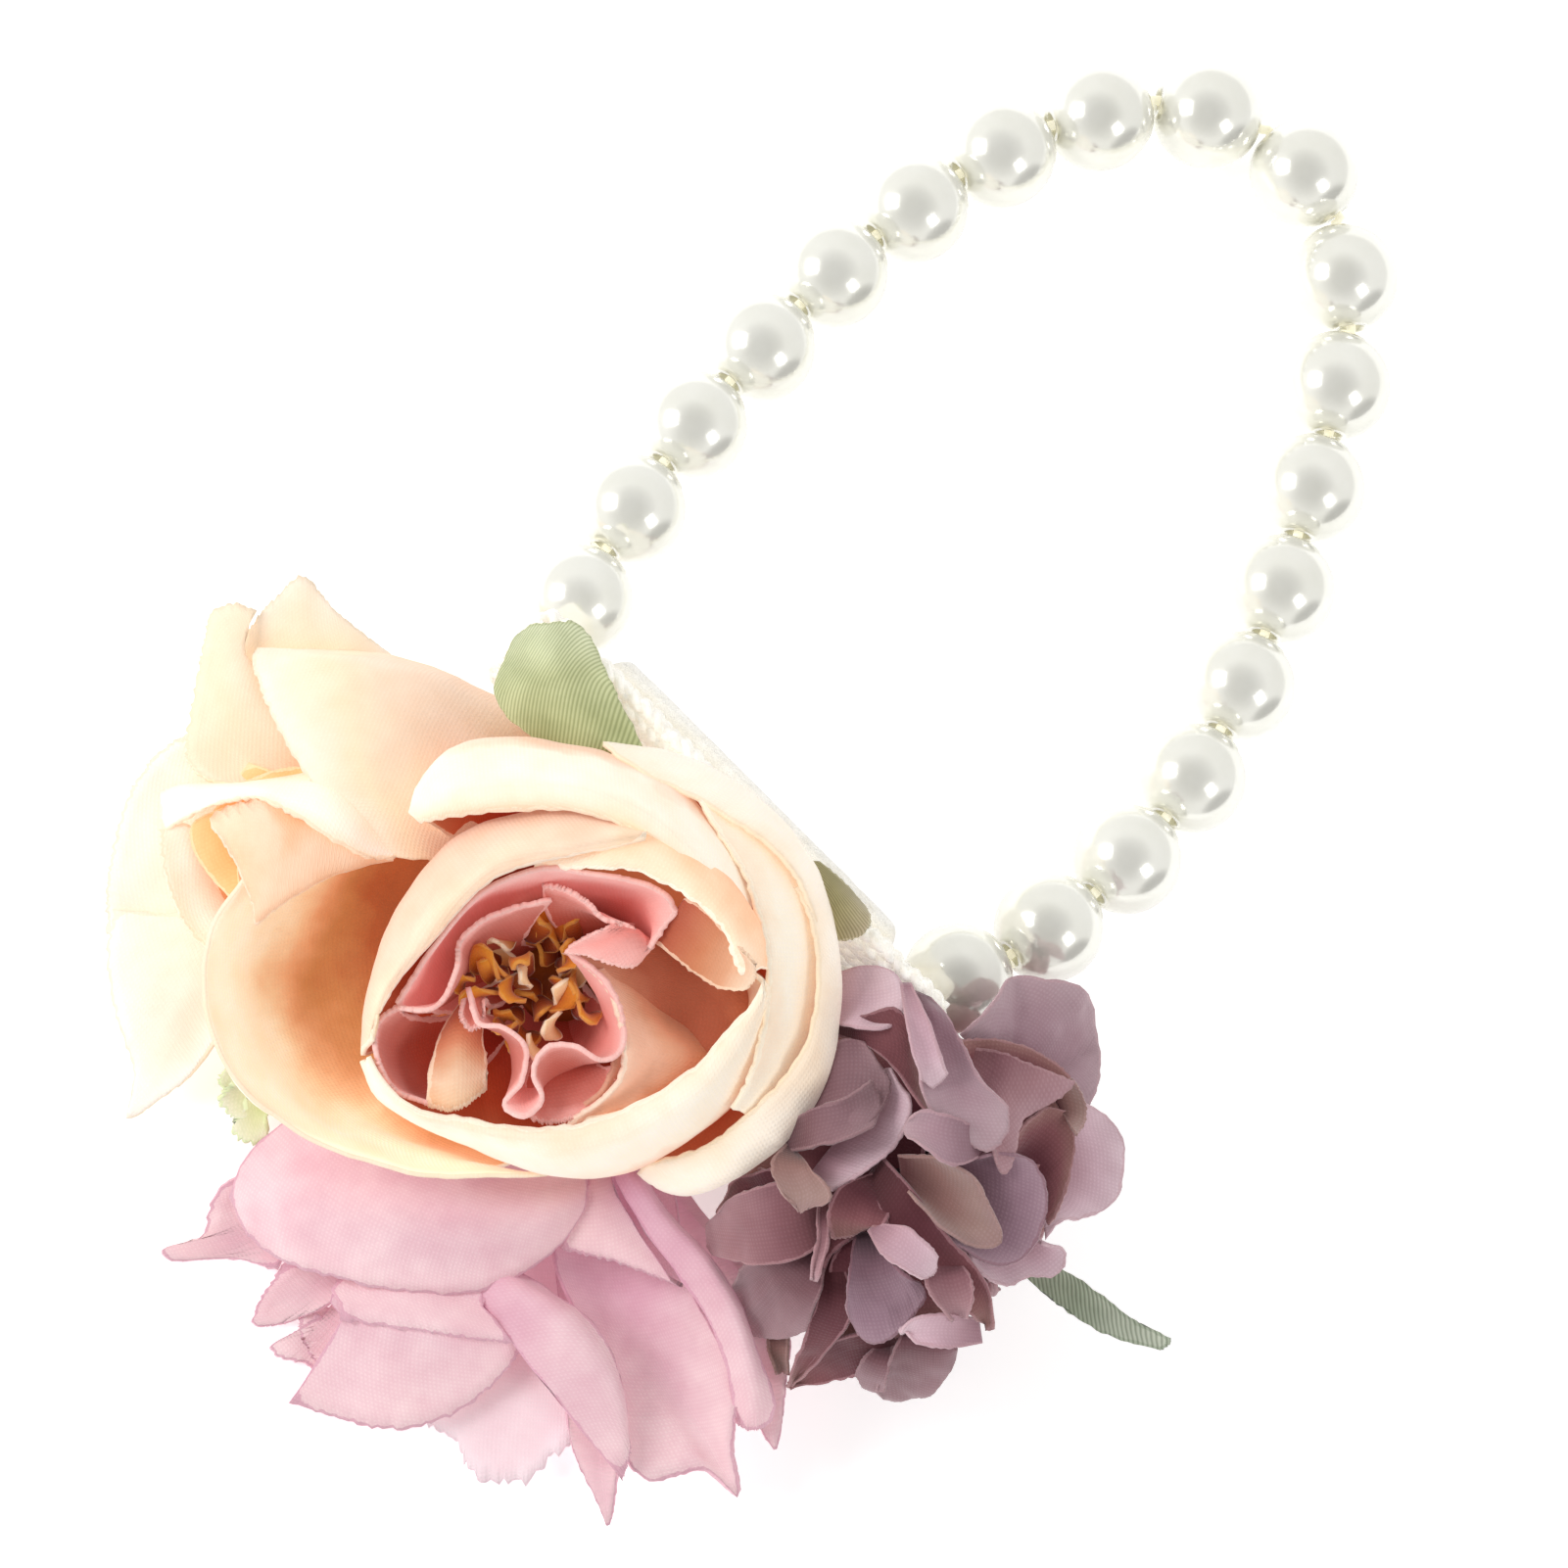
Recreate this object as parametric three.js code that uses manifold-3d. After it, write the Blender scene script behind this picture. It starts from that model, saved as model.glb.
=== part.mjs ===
// A wrist corsage: a stretch bracelet of pearls on one elastic cord, closed by a lace strip with a felt
// back that rests on the wrist, and fabric flowers glued to the strip's outer side.
// Millimetres. The origin is the middle of the felt's wrist face. +X runs along the strip, +Y points from
// the felt across the bracelet, and +Z is up when the corsage lies on a table, as it is stored.

import * as THREE from "three";
import { mergeVertices } from "three/addons/utils/BufferGeometryUtils.js";
import Module from "manifold-3d";

const wasm = await Module();
wasm.setup();

// Shared clearances and thicknesses
const seatGap = 0.3; // between pieces that are threaded or glued together
const fabricThickness = 0.5;
const cutOverrun = 1;
const cutTolerance = 0.06;
const mergeTolerance = 1e-4;
const degree = Math.PI / 180;

// Table that the corsage lies on, below the middle of the strip
const stripAboveTable = 13;

// Pearls and the elastic cord
const pearlDiameter = 7.8;
const pearlSpacing = 0.2;
const pearlCount = 19;
const pearlBore = 1.8;
const pearlSides = 10;
const cordDiameter = 0.7;
const cordStraightShare = 0.42; // of a pearl and of the felt, on each side of the middle
const stretchShare = 0.2; // of a pearl's distance from the strip, that the cord lets it move out
const endPearlForward = 2.5; // from the felt's wrist face to the middle of the two end pearls

// Felt back and lace strip
const feltLength = 27.6;
const feltWidth = 16;
const feltThickness = 1.4;
const laceLength = 40;
const laceWidth = 19;
const laceThickness = 1.9;
const laceScallops = 10; // along each long edge
const laceScallopDepth = 1;
const grooveWidth = 1.6;
const grooveDepth = 1.1;
const feltCornerShare = 0.15;
const laceCornerShare = 0.1;

// Glue bed on the lace's outer face
const glueLength = 25;
const glueWidth = 10;
const glueThickness = 1.4;
const glueCornerShare = 0.4;

// Main rose, which faces up
const mainRoseRadius = 18;
const mainRoseHeight = 19;
// Side rose, which faces the end of the strip
const sideRoseRadius = 14.8;
const sideRoseHeight = 23;
// Pink rose, which faces outwards and lies on the table
const pinkRoseRadius = 20.5;
const pinkRoseHeight = 38;

// What every rose is threaded on
const pinRadius = 0.8;
const pinHole = 1.1;
const hubRadius = 3.4;
const hubThickness = 0.6;
const hubPitch = hubThickness + seatGap;
const calyxRadius = 3.8;
const calyxDepth = 3;
const stemRadius = 1.3;
const calyxWaistShares = [0.8, 0.6];
const fanShare = 0.625; // of a petal's length, over which it reaches its full width
const hubSides = 12;
const rodSides = 8;
const thinRodSides = 6;
// Stamens of the main rose
const stamenCount = 8;
const stamenHubRadius = 2.4;
const stamenTopShare = 0.62;
const stamenSpreadShare = 0.22;
const filamentRadius = 0.35;
const antherRadius = 0.7;
const petalColumns = 4;
const petalRows = 3;

// Hydrangea
const hydrangeaRadius = 15;
const floretRadius = 7.6;
const floretCup = 2.6;
const floretSides = 16;
const floretNotchShare = 0.62;
const floretRingShare = 0.5;
const floretCupPower = 1.6;
const pedicelRadius = 0.6;
const knobRadius = 4;

// Leaves
const leafLength = 10;
const leafWidth = 8.5;
const sideLeafLength = 5;
const sideLeafWidth = 4.25;
const sprigLength = 10;
const sprigWidth = 5;
const bladeLength = 15;
const bladeWidth = 3;
const leafStalkRadius = 0.6;
const leafStartShare = 0.12; // of the half wave that its width follows, and of the stalk's overlap
const leafWaveShare = 0.8;
const leafColumns = 4;
const leafRows = 5;

const colours = {
  pearl: { color: 0xf4f1e8, roughness: 0.2, metalness: 0.05 },
  cord: { color: 0xeeeadb, roughness: 0.4, metalness: 0 },
  felt: { color: 0xf1ede4, roughness: 0.95, metalness: 0 },
  lace: { color: 0xf5f1e8, roughness: 0.9, metalness: 0 },
  glue: { color: 0xf2ead2, roughness: 0.35, metalness: 0 },
  peach: { color: 0xfbd2a8, roughness: 0.8, metalness: 0 },
  palePeach: { color: 0xfde3c4, roughness: 0.8, metalness: 0 },
  rosePink: { color: 0xd9848c, roughness: 0.8, metalness: 0 },
  pink: { color: 0xe4b2cb, roughness: 0.8, metalness: 0 },
  mauve: { color: 0xa98a9d, roughness: 0.85, metalness: 0 },
  stamen: { color: 0xe8b45f, roughness: 0.6, metalness: 0 },
  leaf: { color: 0xa6b98a, roughness: 0.85, metalness: 0 },
  stem: { color: 0x7f9a68, roughness: 0.6, metalness: 0 },
};

const corsage = new THREE.Group();

// Closed solids from three.js geometry and back
function solidOf(geometry) {
  const bare = geometry.clone();
  bare.deleteAttribute("normal");
  bare.deleteAttribute("uv");
  const merged = mergeVertices(bare, mergeTolerance);
  return new wasm.Manifold(
    new wasm.Mesh({
      numProp: 3,
      vertProperties: merged.attributes.position.array,
      triVerts: new Uint32Array(merged.index.array),
    }),
  );
}

function geometryOf(solid) {
  const mesh = solid.getMesh();
  return new THREE.BufferGeometry()
    .setAttribute("position", new THREE.BufferAttribute(mesh.vertProperties, 3))
    .setIndex(new THREE.BufferAttribute(mesh.triVerts, 1));
}

function joined(solids) {
  return solids.reduce((whole, piece) => whole.add(piece));
}

// What is left of a piece that its neighbours cut, without the slivers
function largestPiece(solid) {
  const left = solid.simplify(cutTolerance).decompose();
  return left.reduce((a, b) => (a.volume() > b.volume() ? a : b));
}

function moved(solid, matrix) {
  return solidOf(geometryOf(solid).applyMatrix4(matrix));
}

function addMesh(parent, name, shape, material) {
  const geometry = shape.isBufferGeometry ? shape : geometryOf(shape);
  const mesh = new THREE.Mesh(geometry, new THREE.MeshStandardMaterial(colours[material]));
  mesh.name = name;
  parent.add(mesh);
  return mesh;
}

// A curved sheet as a closed solid. pointAt(across, along) gives its middle surface for across from -1
// to 1 and along from 0 to 1. A keep-out is the same sheet, thicker and longer by a margin.
function sheet(pointAt, columns, rows, thickness, margin = 0) {
  const grid = [];
  for (let i = 0; i <= columns; i++)
    for (let j = 0; j <= rows; j++) grid.push(pointAt(-1 + (2 * i) / columns, j / rows));
  const at = (i, j) => grid[i * (rows + 1) + j];
  const edgeMove = (i, j, nextI, nextJ) =>
    at(i, j).clone().sub(at(nextI, nextJ)).normalize().multiplyScalar(margin);
  const half = thickness / 2 + margin;
  const upper = [];
  const lower = [];
  for (let i = 0; i <= columns; i++)
    for (let j = 0; j <= rows; j++) {
      const acrossWay = at(Math.min(i + 1, columns), j).clone().sub(at(Math.max(i - 1, 0), j));
      const alongWay = at(i, Math.min(j + 1, rows)).clone().sub(at(i, Math.max(j - 1, 0)));
      const normal = acrossWay.cross(alongWay).normalize().multiplyScalar(half);
      const point = at(i, j).clone();
      if (i === 0) point.add(edgeMove(i, j, 1, j));
      if (i === columns) point.add(edgeMove(i, j, columns - 1, j));
      if (j === rows) point.add(edgeMove(i, j, i, rows - 1));
      upper.push(point.clone().add(normal));
      lower.push(point.clone().sub(normal));
    }
  const points = [...upper, ...lower];
  const lowerStart = upper.length;
  const index = [];
  const quad = (a, b, c, d) => index.push(a, b, c, a, c, d);
  const id = (i, j) => i * (rows + 1) + j;
  for (let i = 0; i < columns; i++)
    for (let j = 0; j < rows; j++) {
      const [a, b, c, d] = [id(i, j), id(i + 1, j), id(i + 1, j + 1), id(i, j + 1)];
      quad(a, b, c, d);
      quad(lowerStart + d, lowerStart + c, lowerStart + b, lowerStart + a);
    }
  const rim = [];
  for (let i = 0; i < columns; i++) rim.push(id(i, 0));
  for (let j = 0; j < rows; j++) rim.push(id(columns, j));
  for (let i = columns; i > 0; i--) rim.push(id(i, rows));
  for (let j = rows; j > 0; j--) rim.push(id(0, j));
  rim.forEach((a, k) => {
    const b = rim[(k + 1) % rim.length];
    quad(lowerStart + a, lowerStart + b, b, a);
  });
  const geometry = new THREE.BufferGeometry()
    .setAttribute("position", new THREE.Float32BufferAttribute(points.flatMap((p) => p.toArray()), 3))
    .setIndex(index);
  return solidOf(geometry);
}

// A disc with a hole, standing on its lower face
function ring(radius, hole, low, thickness) {
  const profile = [
    [hole, low],
    [radius, low],
    [radius, low + thickness],
    [hole, low + thickness],
    [hole, low],
  ];
  const lathe = new THREE.LatheGeometry(
    profile.map(([r, h]) => new THREE.Vector2(r, h)),
    hubSides,
  );
  return solidOf(lathe.rotateX(90 * degree));
}

function rod(from, to, radius, sides = rodSides) {
  const way = to.clone().sub(from);
  const rodGeometry = new THREE.CylinderGeometry(radius, radius, way.length(), sides);
  const turn = new THREE.Quaternion().setFromUnitVectors(new THREE.Vector3(0, 1, 0), way.clone().normalize());
  rodGeometry.applyQuaternion(turn);
  rodGeometry.translate(...from.clone().add(to).multiplyScalar(0.5).toArray());
  return solidOf(rodGeometry);
}

// The bracelet's outline, in shares of its reach from the end pearls to the far one
const outlineShares = [
  [-0.295, 0],
  [-0.333, 0.17],
  [-0.352, 0.42],
  [-0.345, 0.6],
  [-0.3, 0.8],
  [-0.205, 0.955],
  [-0.05, 1],
  [0.07, 0.925],
  [0.185, 0.74],
  [0.275, 0.54],
  [0.33, 0.33],
  [0.328, 0.13],
  [0.295, 0],
];

// Places the pearls a chord apart along the outline, and finds the reach that makes them fill it
function pearlShares() {
  const outline = new THREE.CatmullRomCurve3(
    outlineShares.map(([x, y]) => new THREE.Vector3(x, y, 0)),
    false,
    "centripetal",
  ).getSpacedPoints(1500);
  const walk = (chord) => {
    const placed = [outline[0]];
    for (const point of outline)
      if (placed.length < pearlCount && point.distanceTo(placed.at(-1)) >= chord) placed.push(point);
    return placed;
  };
  let low = 0;
  let high = 1;
  for (let round = 0; round < 40; round++) {
    const middle = (low + high) / 2;
    if (walk(middle).length < pearlCount) high = middle;
    else low = middle;
  }
  return { placed: walk(low), chord: low };
}

const { placed, chord } = pearlShares();
const reach = (pearlDiameter + pearlSpacing) / chord;
const farPearlDrop = stripAboveTable - pearlDiameter / 2;
const loopTilt = Math.asin(farPearlDrop / reach);
const pearlPlaces = placed.map(
  ({ x, y }) =>
    new THREE.Vector3(
      x * reach,
      endPearlForward + y * reach * Math.cos(loopTilt),
      -y * reach * Math.sin(loopTilt),
    ),
);

const laceInner = -feltThickness - seatGap;
const laceOuter = laceInner - laceThickness;
const grooveMiddle = laceInner - grooveDepth / 2;
const glueFront = laceOuter - seatGap;
const glueBack = glueFront - glueThickness;
const cordExits = [-1, 1].map((side) => new THREE.Vector3((side * feltLength) / 2, grooveMiddle, 0));

function pearlDirections() {
  return pearlPlaces.map((place, k) => {
    const before = k > 0 ? pearlPlaces[k - 1] : cordExits[0];
    const after = k < pearlCount - 1 ? pearlPlaces[k + 1] : cordExits[1];
    return after.clone().sub(before).normalize();
  });
}

// A pearl as a bored ball, its bore along its own Y
function pearlGeometry() {
  const radius = pearlDiameter / 2;
  const bore = pearlBore / 2;
  const mouth = Math.asin(bore / radius);
  const rows = 6;
  const profile = [];
  for (let k = 0; k <= rows; k++) {
    const angle = mouth + ((Math.PI - 2 * mouth) * k) / rows;
    profile.push(new THREE.Vector2(radius * Math.sin(angle), -radius * Math.cos(angle)));
  }
  profile.push(profile[0].clone());
  return new THREE.LatheGeometry(profile, pearlSides);
}

function addPearls() {
  const bracelet = new THREE.Group();
  const geometry = pearlGeometry();
  const directions = pearlDirections();
  pearlPlaces.forEach((place, k) => {
    const pearl = addMesh(bracelet, `pearl_${String(k + 1).padStart(2, "0")}`, geometry, "pearl");
    pearl.position.copy(place);
    pearl.quaternion.setFromUnitVectors(new THREE.Vector3(0, 1, 0), directions[k]);
  });
  corsage.add(bracelet);
}

// One closed ring of elastic, through every pearl and along the groove in the lace
function addCord() {
  const directions = pearlDirections();
  const route = [];
  pearlPlaces.forEach((place, k) => {
    const half = directions[k].clone().multiplyScalar(pearlDiameter * cordStraightShare);
    route.push(place.clone().sub(half), place.clone().add(half));
  });
  const inGroove = feltLength * cordStraightShare;
  route.push(cordExits[1], new THREE.Vector3(inGroove, grooveMiddle, 0));
  route.push(new THREE.Vector3(-inGroove, grooveMiddle, 0), cordExits[0]);
  const path = new THREE.CatmullRomCurve3(route, true, "centripetal");
  const cord = new THREE.TubeGeometry(path, 88, cordDiameter / 2, 5, true);
  addMesh(corsage, "elastic_cord", solidOf(cord), "cord");
}

// Slab on the strip's outer side: an outline in X and Z, from one Y down to another
function slab(outline, front, back) {
  const shape = new THREE.Shape(outline.map(([x, z]) => new THREE.Vector2(x, z)));
  const geometry = new THREE.ExtrudeGeometry(shape, { depth: front - back, bevelEnabled: false });
  geometry.rotateX(90 * degree).translate(0, front, 0);
  return solidOf(geometry);
}

function laceOutline() {
  const pitch = laceLength / laceScallops;
  const points = [];
  for (const side of [-1, 1])
    for (let k = 0; k < laceScallops; k++)
      for (const share of [0, 0.25, 0.5, 0.75]) {
        const along = -laceLength / 2 + (k + share) * pitch;
        const edge = laceWidth / 2 - laceScallopDepth * (1 - Math.sin(share * Math.PI));
        points.push([-side * along, -side * edge]);
      }
  return points.reverse();
}

function roundedOutline(length, width, cornerShare) {
  const corner = width * cornerShare;
  const points = [];
  for (let quarter = 0; quarter < 4; quarter++)
    for (const share of [0, 0.33, 0.67, 1]) {
      const angle = (quarter + share) * 90 * degree;
      const sideX = quarter === 0 || quarter === 3 ? 1 : -1;
      const sideZ = quarter < 2 ? 1 : -1;
      points.push([
        sideX * (length / 2 - corner) + corner * Math.cos(angle),
        sideZ * (width / 2 - corner) + corner * Math.sin(angle),
      ]);
    }
  return points;
}

function addStrip() {
  const felt = slab(roundedOutline(feltLength, feltWidth, feltCornerShare), 0, -feltThickness);
  addMesh(corsage, "felt_backing", felt, "felt");
  const groove = slab(
    roundedOutline(laceLength + 2 * cutOverrun, grooveWidth, 0),
    laceInner + cutOverrun,
    laceInner - grooveDepth,
  );
  addMesh(corsage, "lace_strip", slab(laceOutline(), laceInner, laceOuter).subtract(groove), "lace");
  const glue = slab(roundedOutline(glueLength, glueWidth, glueCornerShare), glueFront, glueBack);
  addMesh(corsage, "glue_bed", glue, "glue");
}

// A place from the middle of the glue bed's outer face: along the strip, outwards and up, in shares of
// the lace's length
function placeAt([alongShare, outShare, upShare]) {
  const place = new THREE.Vector3(alongShare, -outShare, upShare).multiplyScalar(laceLength);
  place.y += glueBack;
  return place;
}

// Point on a cubic curve of [radius, height] pairs
function profilePoint(pairs, t) {
  const weights = [(1 - t) ** 3, 3 * t * (1 - t) ** 2, 3 * t * t * (1 - t), t ** 3];
  return [0, 1].map((axis) => weights.reduce((sum, weight, k) => sum + weight * pairs[k][axis], 0));
}

// The table, as a slab to cut by
const tableCut = solidOf(
  new THREE.BoxGeometry(reach * 4, reach * 4, reach).translate(0, 0, -stripAboveTable - reach / 2),
);
const keepOuts = []; // grown solids in the corsage's frame, which later pieces are cut by

function cutBy(solid, group, cutters) {
  group.updateMatrixWorld(true);
  const inverse = group.matrixWorld.clone().invert();
  return cutters.reduce((left, cutter) => left.subtract(moved(cutter, inverse)), solid);
}

function keepClear(solid, group) {
  group.updateMatrixWorld(true);
  keepOuts.push(moved(solid, group.matrixWorld));
}

// Lifts a point of a lying petal onto the table, or onto the layers that lie there already
function restOnTable(point, group, layersBelow) {
  const lowest = -stripAboveTable + fabricThickness / 2 + layersBelow * hubPitch;
  const placed = point.clone().applyMatrix4(group.matrixWorld);
  if (placed.z > lowest) return point;
  placed.z = lowest;
  return placed.applyMatrix4(group.matrixWorld.clone().invert());
}

// A petal of a rose as a function of across and along, in the rose's own frame, whose axis is Z.
// Angles are in degrees.
function petalSurface(rose, layer, layerNumber, piece, group) {
  const { turn, spread, reachShare = 1, topShare = 1, flareShare = 1 } = piece;
  const rim = rose.radius * layer.rimShare * reachShare * flareShare;
  const belly = rose.radius * layer.bellyShare * reachShare;
  const foot = rose.radius * layer.footShare * reachShare;
  const low = layerNumber * hubPitch + hubThickness / 2;
  const rise = rose.height * layer.topShare * topShare - low;
  const pairs = [
    [hubRadius - fabricThickness, low],
    [foot, low + rise * layer.footRiseShare],
    [belly, low + rise * layer.bellyRiseShare],
    [rim, low + rise],
  ];
  return (across, along) => {
    const shortened = along * (1 - layer.roundShare * Math.abs(across) ** 3);
    const [radius, height] = profilePoint(pairs, shortened);
    const fan = spread * (layer.neckShare + (1 - layer.neckShare) * Math.min(1, along / fanShare));
    const angle = (turn + fan * across) * degree;
    const spiral = radius * (1 + layer.spiralShare * across * shortened);
    const point = new THREE.Vector3(
      spiral * Math.cos(angle) * rose.flattenShare,
      spiral * Math.sin(angle),
      height,
    );
    return restOnTable(point, group, layerNumber);
  };
}

// A flower's frame: its base, and its axis by heading from +X and elevation above the table
function flowerGroup({ baseShares, heading, elevation, roll }) {
  const group = new THREE.Group();
  group.position.copy(placeAt(baseShares));
  const spin = (axis, angle) =>
    new THREE.Quaternion().setFromAxisAngle(new THREE.Vector3(...axis), angle * degree);
  group.quaternion
    .multiply(spin([0, 0, 1], heading))
    .multiply(spin([0, 1, 0], 90 - elevation))
    .multiply(spin([0, 0, 1], roll));
  corsage.add(group);
  group.updateMatrixWorld(true);
  return group;
}

// Calyx and pin that a rose's layers are threaded on, with a stem that ends at the glue bed
function roseStem(rose, group) {
  const pinTop = (rose.layers.length + 1) * hubPitch;
  const [waistShare, waistDepthShare] = calyxWaistShares;
  const calyx = new THREE.LatheGeometry(
    [
      [0, -calyxDepth],
      [stemRadius, -calyxDepth],
      [calyxRadius * waistShare, -calyxDepth * waistDepthShare],
      [calyxRadius, -seatGap],
      [pinRadius, -seatGap],
      [pinRadius, pinTop],
      [0, pinTop],
    ].map(([r, h]) => new THREE.Vector2(r, h)),
    hubSides,
  ).rotateX(90 * degree);
  const foot = new THREE.Vector3(0, 0, -calyxDepth);
  const inside = foot.clone().multiplyScalar(waistDepthShare);
  const spot = placeAt(rose.glueShares).applyMatrix4(group.matrixWorld.clone().invert());
  return {
    solid: joined([solidOf(calyx), rod(inside, spot, stemRadius)]),
    keepOut: joined([
      rod(foot, new THREE.Vector3(), calyxRadius + seatGap, hubSides),
      rod(inside, spot, stemRadius + seatGap),
    ]),
  };
}

function addRose(rose) {
  const group = flowerGroup(rose);
  const stem = roseStem(rose, group);
  const stemCut = largestPiece(cutBy(stem.solid, group, [tableCut, ...keepOuts]));
  addMesh(group, `${rose.name}_stem`, stemCut, "stem");
  const earlier = [];
  rose.layers.forEach((layer, k) => {
    const hubHeight = k * hubPitch;
    const surfaces = layer.petals.map((piece) => petalSurface(rose, layer, k, piece, group));
    const petals = surfaces.map((surface) => sheet(surface, petalColumns, petalRows, fabricThickness));
    const hub = ring(hubRadius, pinHole, hubHeight, hubThickness);
    const pinRoom = rod(
      new THREE.Vector3(0, 0, hubHeight - cutOverrun),
      new THREE.Vector3(0, 0, hubHeight + hubThickness + cutOverrun),
      pinHole,
      hubSides,
    );
    const whole = earlier.reduce((left, cutter) => left.subtract(cutter), joined([hub, ...petals]));
    const cut = cutBy(whole.subtract(pinRoom), group, [tableCut, ...keepOuts]);
    addMesh(group, `${rose.name}_${layer.name}`, largestPiece(cut), layer.material);
    for (const surface of surfaces)
      earlier.push(sheet(surface, petalColumns, petalRows, fabricThickness, seatGap));
  });
  if (rose.hasStamens) {
    const solid = stamens(rose, rose.layers.length * hubPitch);
    addMesh(group, `${rose.name}_stamens`, solid, "stamen");
  }
  [stem.keepOut, ...earlier].forEach((solid) => keepClear(solid, group));
  return group;
}

// Filaments on a hub of their own, threaded last on the pin
function stamens(rose, hubHeight) {
  const pieces = [ring(stamenHubRadius, pinHole, hubHeight, hubThickness)];
  const foot = (stamenHubRadius + pinHole) / 2;
  const top = rose.height * stamenTopShare;
  for (let k = 0; k < stamenCount; k++) {
    const angle = (2 * Math.PI * k) / stamenCount;
    const spread = rose.radius * (k % 2 ? stamenSpreadShare : stamenSpreadShare / 2);
    const way = new THREE.Vector3(Math.cos(angle), Math.sin(angle), 0);
    const tip = way.clone().multiplyScalar(spread).setZ(top);
    const root = way.clone().multiplyScalar(foot).setZ(hubHeight + hubThickness / 2);
    pieces.push(rod(root, tip, filamentRadius, thinRodSides), ball(tip, antherRadius, 0));
  }
  return joined(pieces);
}

const mainRose = {
  name: "main_rose",
  radius: mainRoseRadius,
  height: mainRoseHeight,
  flattenShare: 1,
  hasStamens: true,
  baseShares: [-0.03, 0.2325, -0.01],
  heading: -90,
  elevation: 62,
  roll: 135,
  glueShares: [-0.0375, 0, -0.05],
  layers: [
    {
      name: "outer_petals",
      material: "palePeach",
      rimShare: 1,
      bellyShare: 0.98,
      footShare: 0.62,
      footRiseShare: 0.05,
      bellyRiseShare: 0.45,
      topShare: 0.8,
      roundShare: 0.3,
      neckShare: 0.5,
      spiralShare: 0.06,
      petals: [
        { turn: 192, spread: 54, reachShare: 1.28, topShare: 0.85 },
        { turn: 272, spread: 42, reachShare: 1, topShare: 0.95 },
        { turn: 335, spread: 42, reachShare: 0.98 },
        { turn: 32, spread: 42, reachShare: 0.96 },
        { turn: 100, spread: 44, reachShare: 0.94, topShare: 1.05 },
      ],
    },
    {
      name: "middle_petals",
      material: "peach",
      rimShare: 0.86,
      bellyShare: 0.88,
      footShare: 0.56,
      footRiseShare: 0.06,
      bellyRiseShare: 0.45,
      topShare: 0.95,
      roundShare: 0.3,
      neckShare: 0.5,
      spiralShare: 0.05,
      petals: [
        { turn: 60, spread: 52 },
        { turn: 150, spread: 50 },
        { turn: 240, spread: 50, topShare: 0.95 },
        { turn: 320, spread: 50, topShare: 0.95 },
      ],
    },
    {
      name: "inner_petals",
      material: "peach",
      rimShare: 0.68,
      bellyShare: 0.78,
      footShare: 0.5,
      footRiseShare: 0.07,
      bellyRiseShare: 0.6,
      topShare: 1,
      roundShare: 0.2,
      neckShare: 0.6,
      spiralShare: 0.05,
      petals: [
        { turn: 20, spread: 50, topShare: 0.95 },
        { turn: 110, spread: 54 },
        { turn: 200, spread: 54, topShare: 1.02 },
        { turn: 290, spread: 50, topShare: 0.9 },
      ],
    },
    {
      name: "ruffled_petals",
      material: "rosePink",
      rimShare: 0.46,
      bellyShare: 0.5,
      footShare: 0.34,
      footRiseShare: 0.08,
      bellyRiseShare: 0.6,
      topShare: 0.84,
      roundShare: 0.15,
      neckShare: 0.7,
      spiralShare: 0.12,
      petals: [
        { turn: 45, spread: 34 },
        { turn: 117, spread: 34, topShare: 0.95 },
        { turn: 189, spread: 34 },
        { turn: 261, spread: 34, topShare: 0.95 },
        { turn: 333, spread: 34 },
      ],
    },
  ],
};

const sideRose = {
  name: "side_rose",
  radius: sideRoseRadius,
  height: sideRoseHeight,
  flattenShare: 0.68,
  baseShares: [-0.275, 0.205, -0.0875],
  heading: 215,
  elevation: 5,
  roll: 0,
  glueShares: [-0.2625, 0, -0.0375],
  layers: [
    {
      name: "outer_petals",
      material: "palePeach",
      rimShare: 1.1,
      bellyShare: 0.95,
      footShare: 0.85,
      footRiseShare: 0.05,
      bellyRiseShare: 0.5,
      topShare: 0.9,
      roundShare: 0.35,
      neckShare: 0.5,
      spiralShare: 0.06,
      petals: [
        { turn: 54, spread: 22, reachShare: 1.5, topShare: 1.05 },
        { turn: 206, spread: 44, flareShare: 0.8, topShare: 0.95 },
        { turn: 264, spread: 20, topShare: 0.95 },
        { turn: 14, spread: 32, reachShare: 0.75, topShare: 1.15 },
      ],
    },
    {
      name: "middle_petals",
      material: "palePeach",
      rimShare: 0.85,
      bellyShare: 0.78,
      footShare: 0.68,
      footRiseShare: 0.08,
      bellyRiseShare: 0.5,
      topShare: 1,
      roundShare: 0.3,
      neckShare: 0.5,
      spiralShare: 0.06,
      petals: [
        { turn: 110, spread: 50 },
        { turn: 190, spread: 50 },
        { turn: 270, spread: 50 },
        { turn: 20, spread: 50 },
      ],
    },
    {
      name: "inner_petals",
      material: "peach",
      rimShare: 0.5,
      bellyShare: 0.58,
      footShare: 0.46,
      footRiseShare: 0.1,
      bellyRiseShare: 0.6,
      topShare: 1,
      roundShare: 0.2,
      neckShare: 0.6,
      spiralShare: 0.08,
      petals: [
        { turn: 60, spread: 66 },
        { turn: 180, spread: 66 },
        { turn: 300, spread: 66 },
      ],
    },
  ],
};

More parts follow.
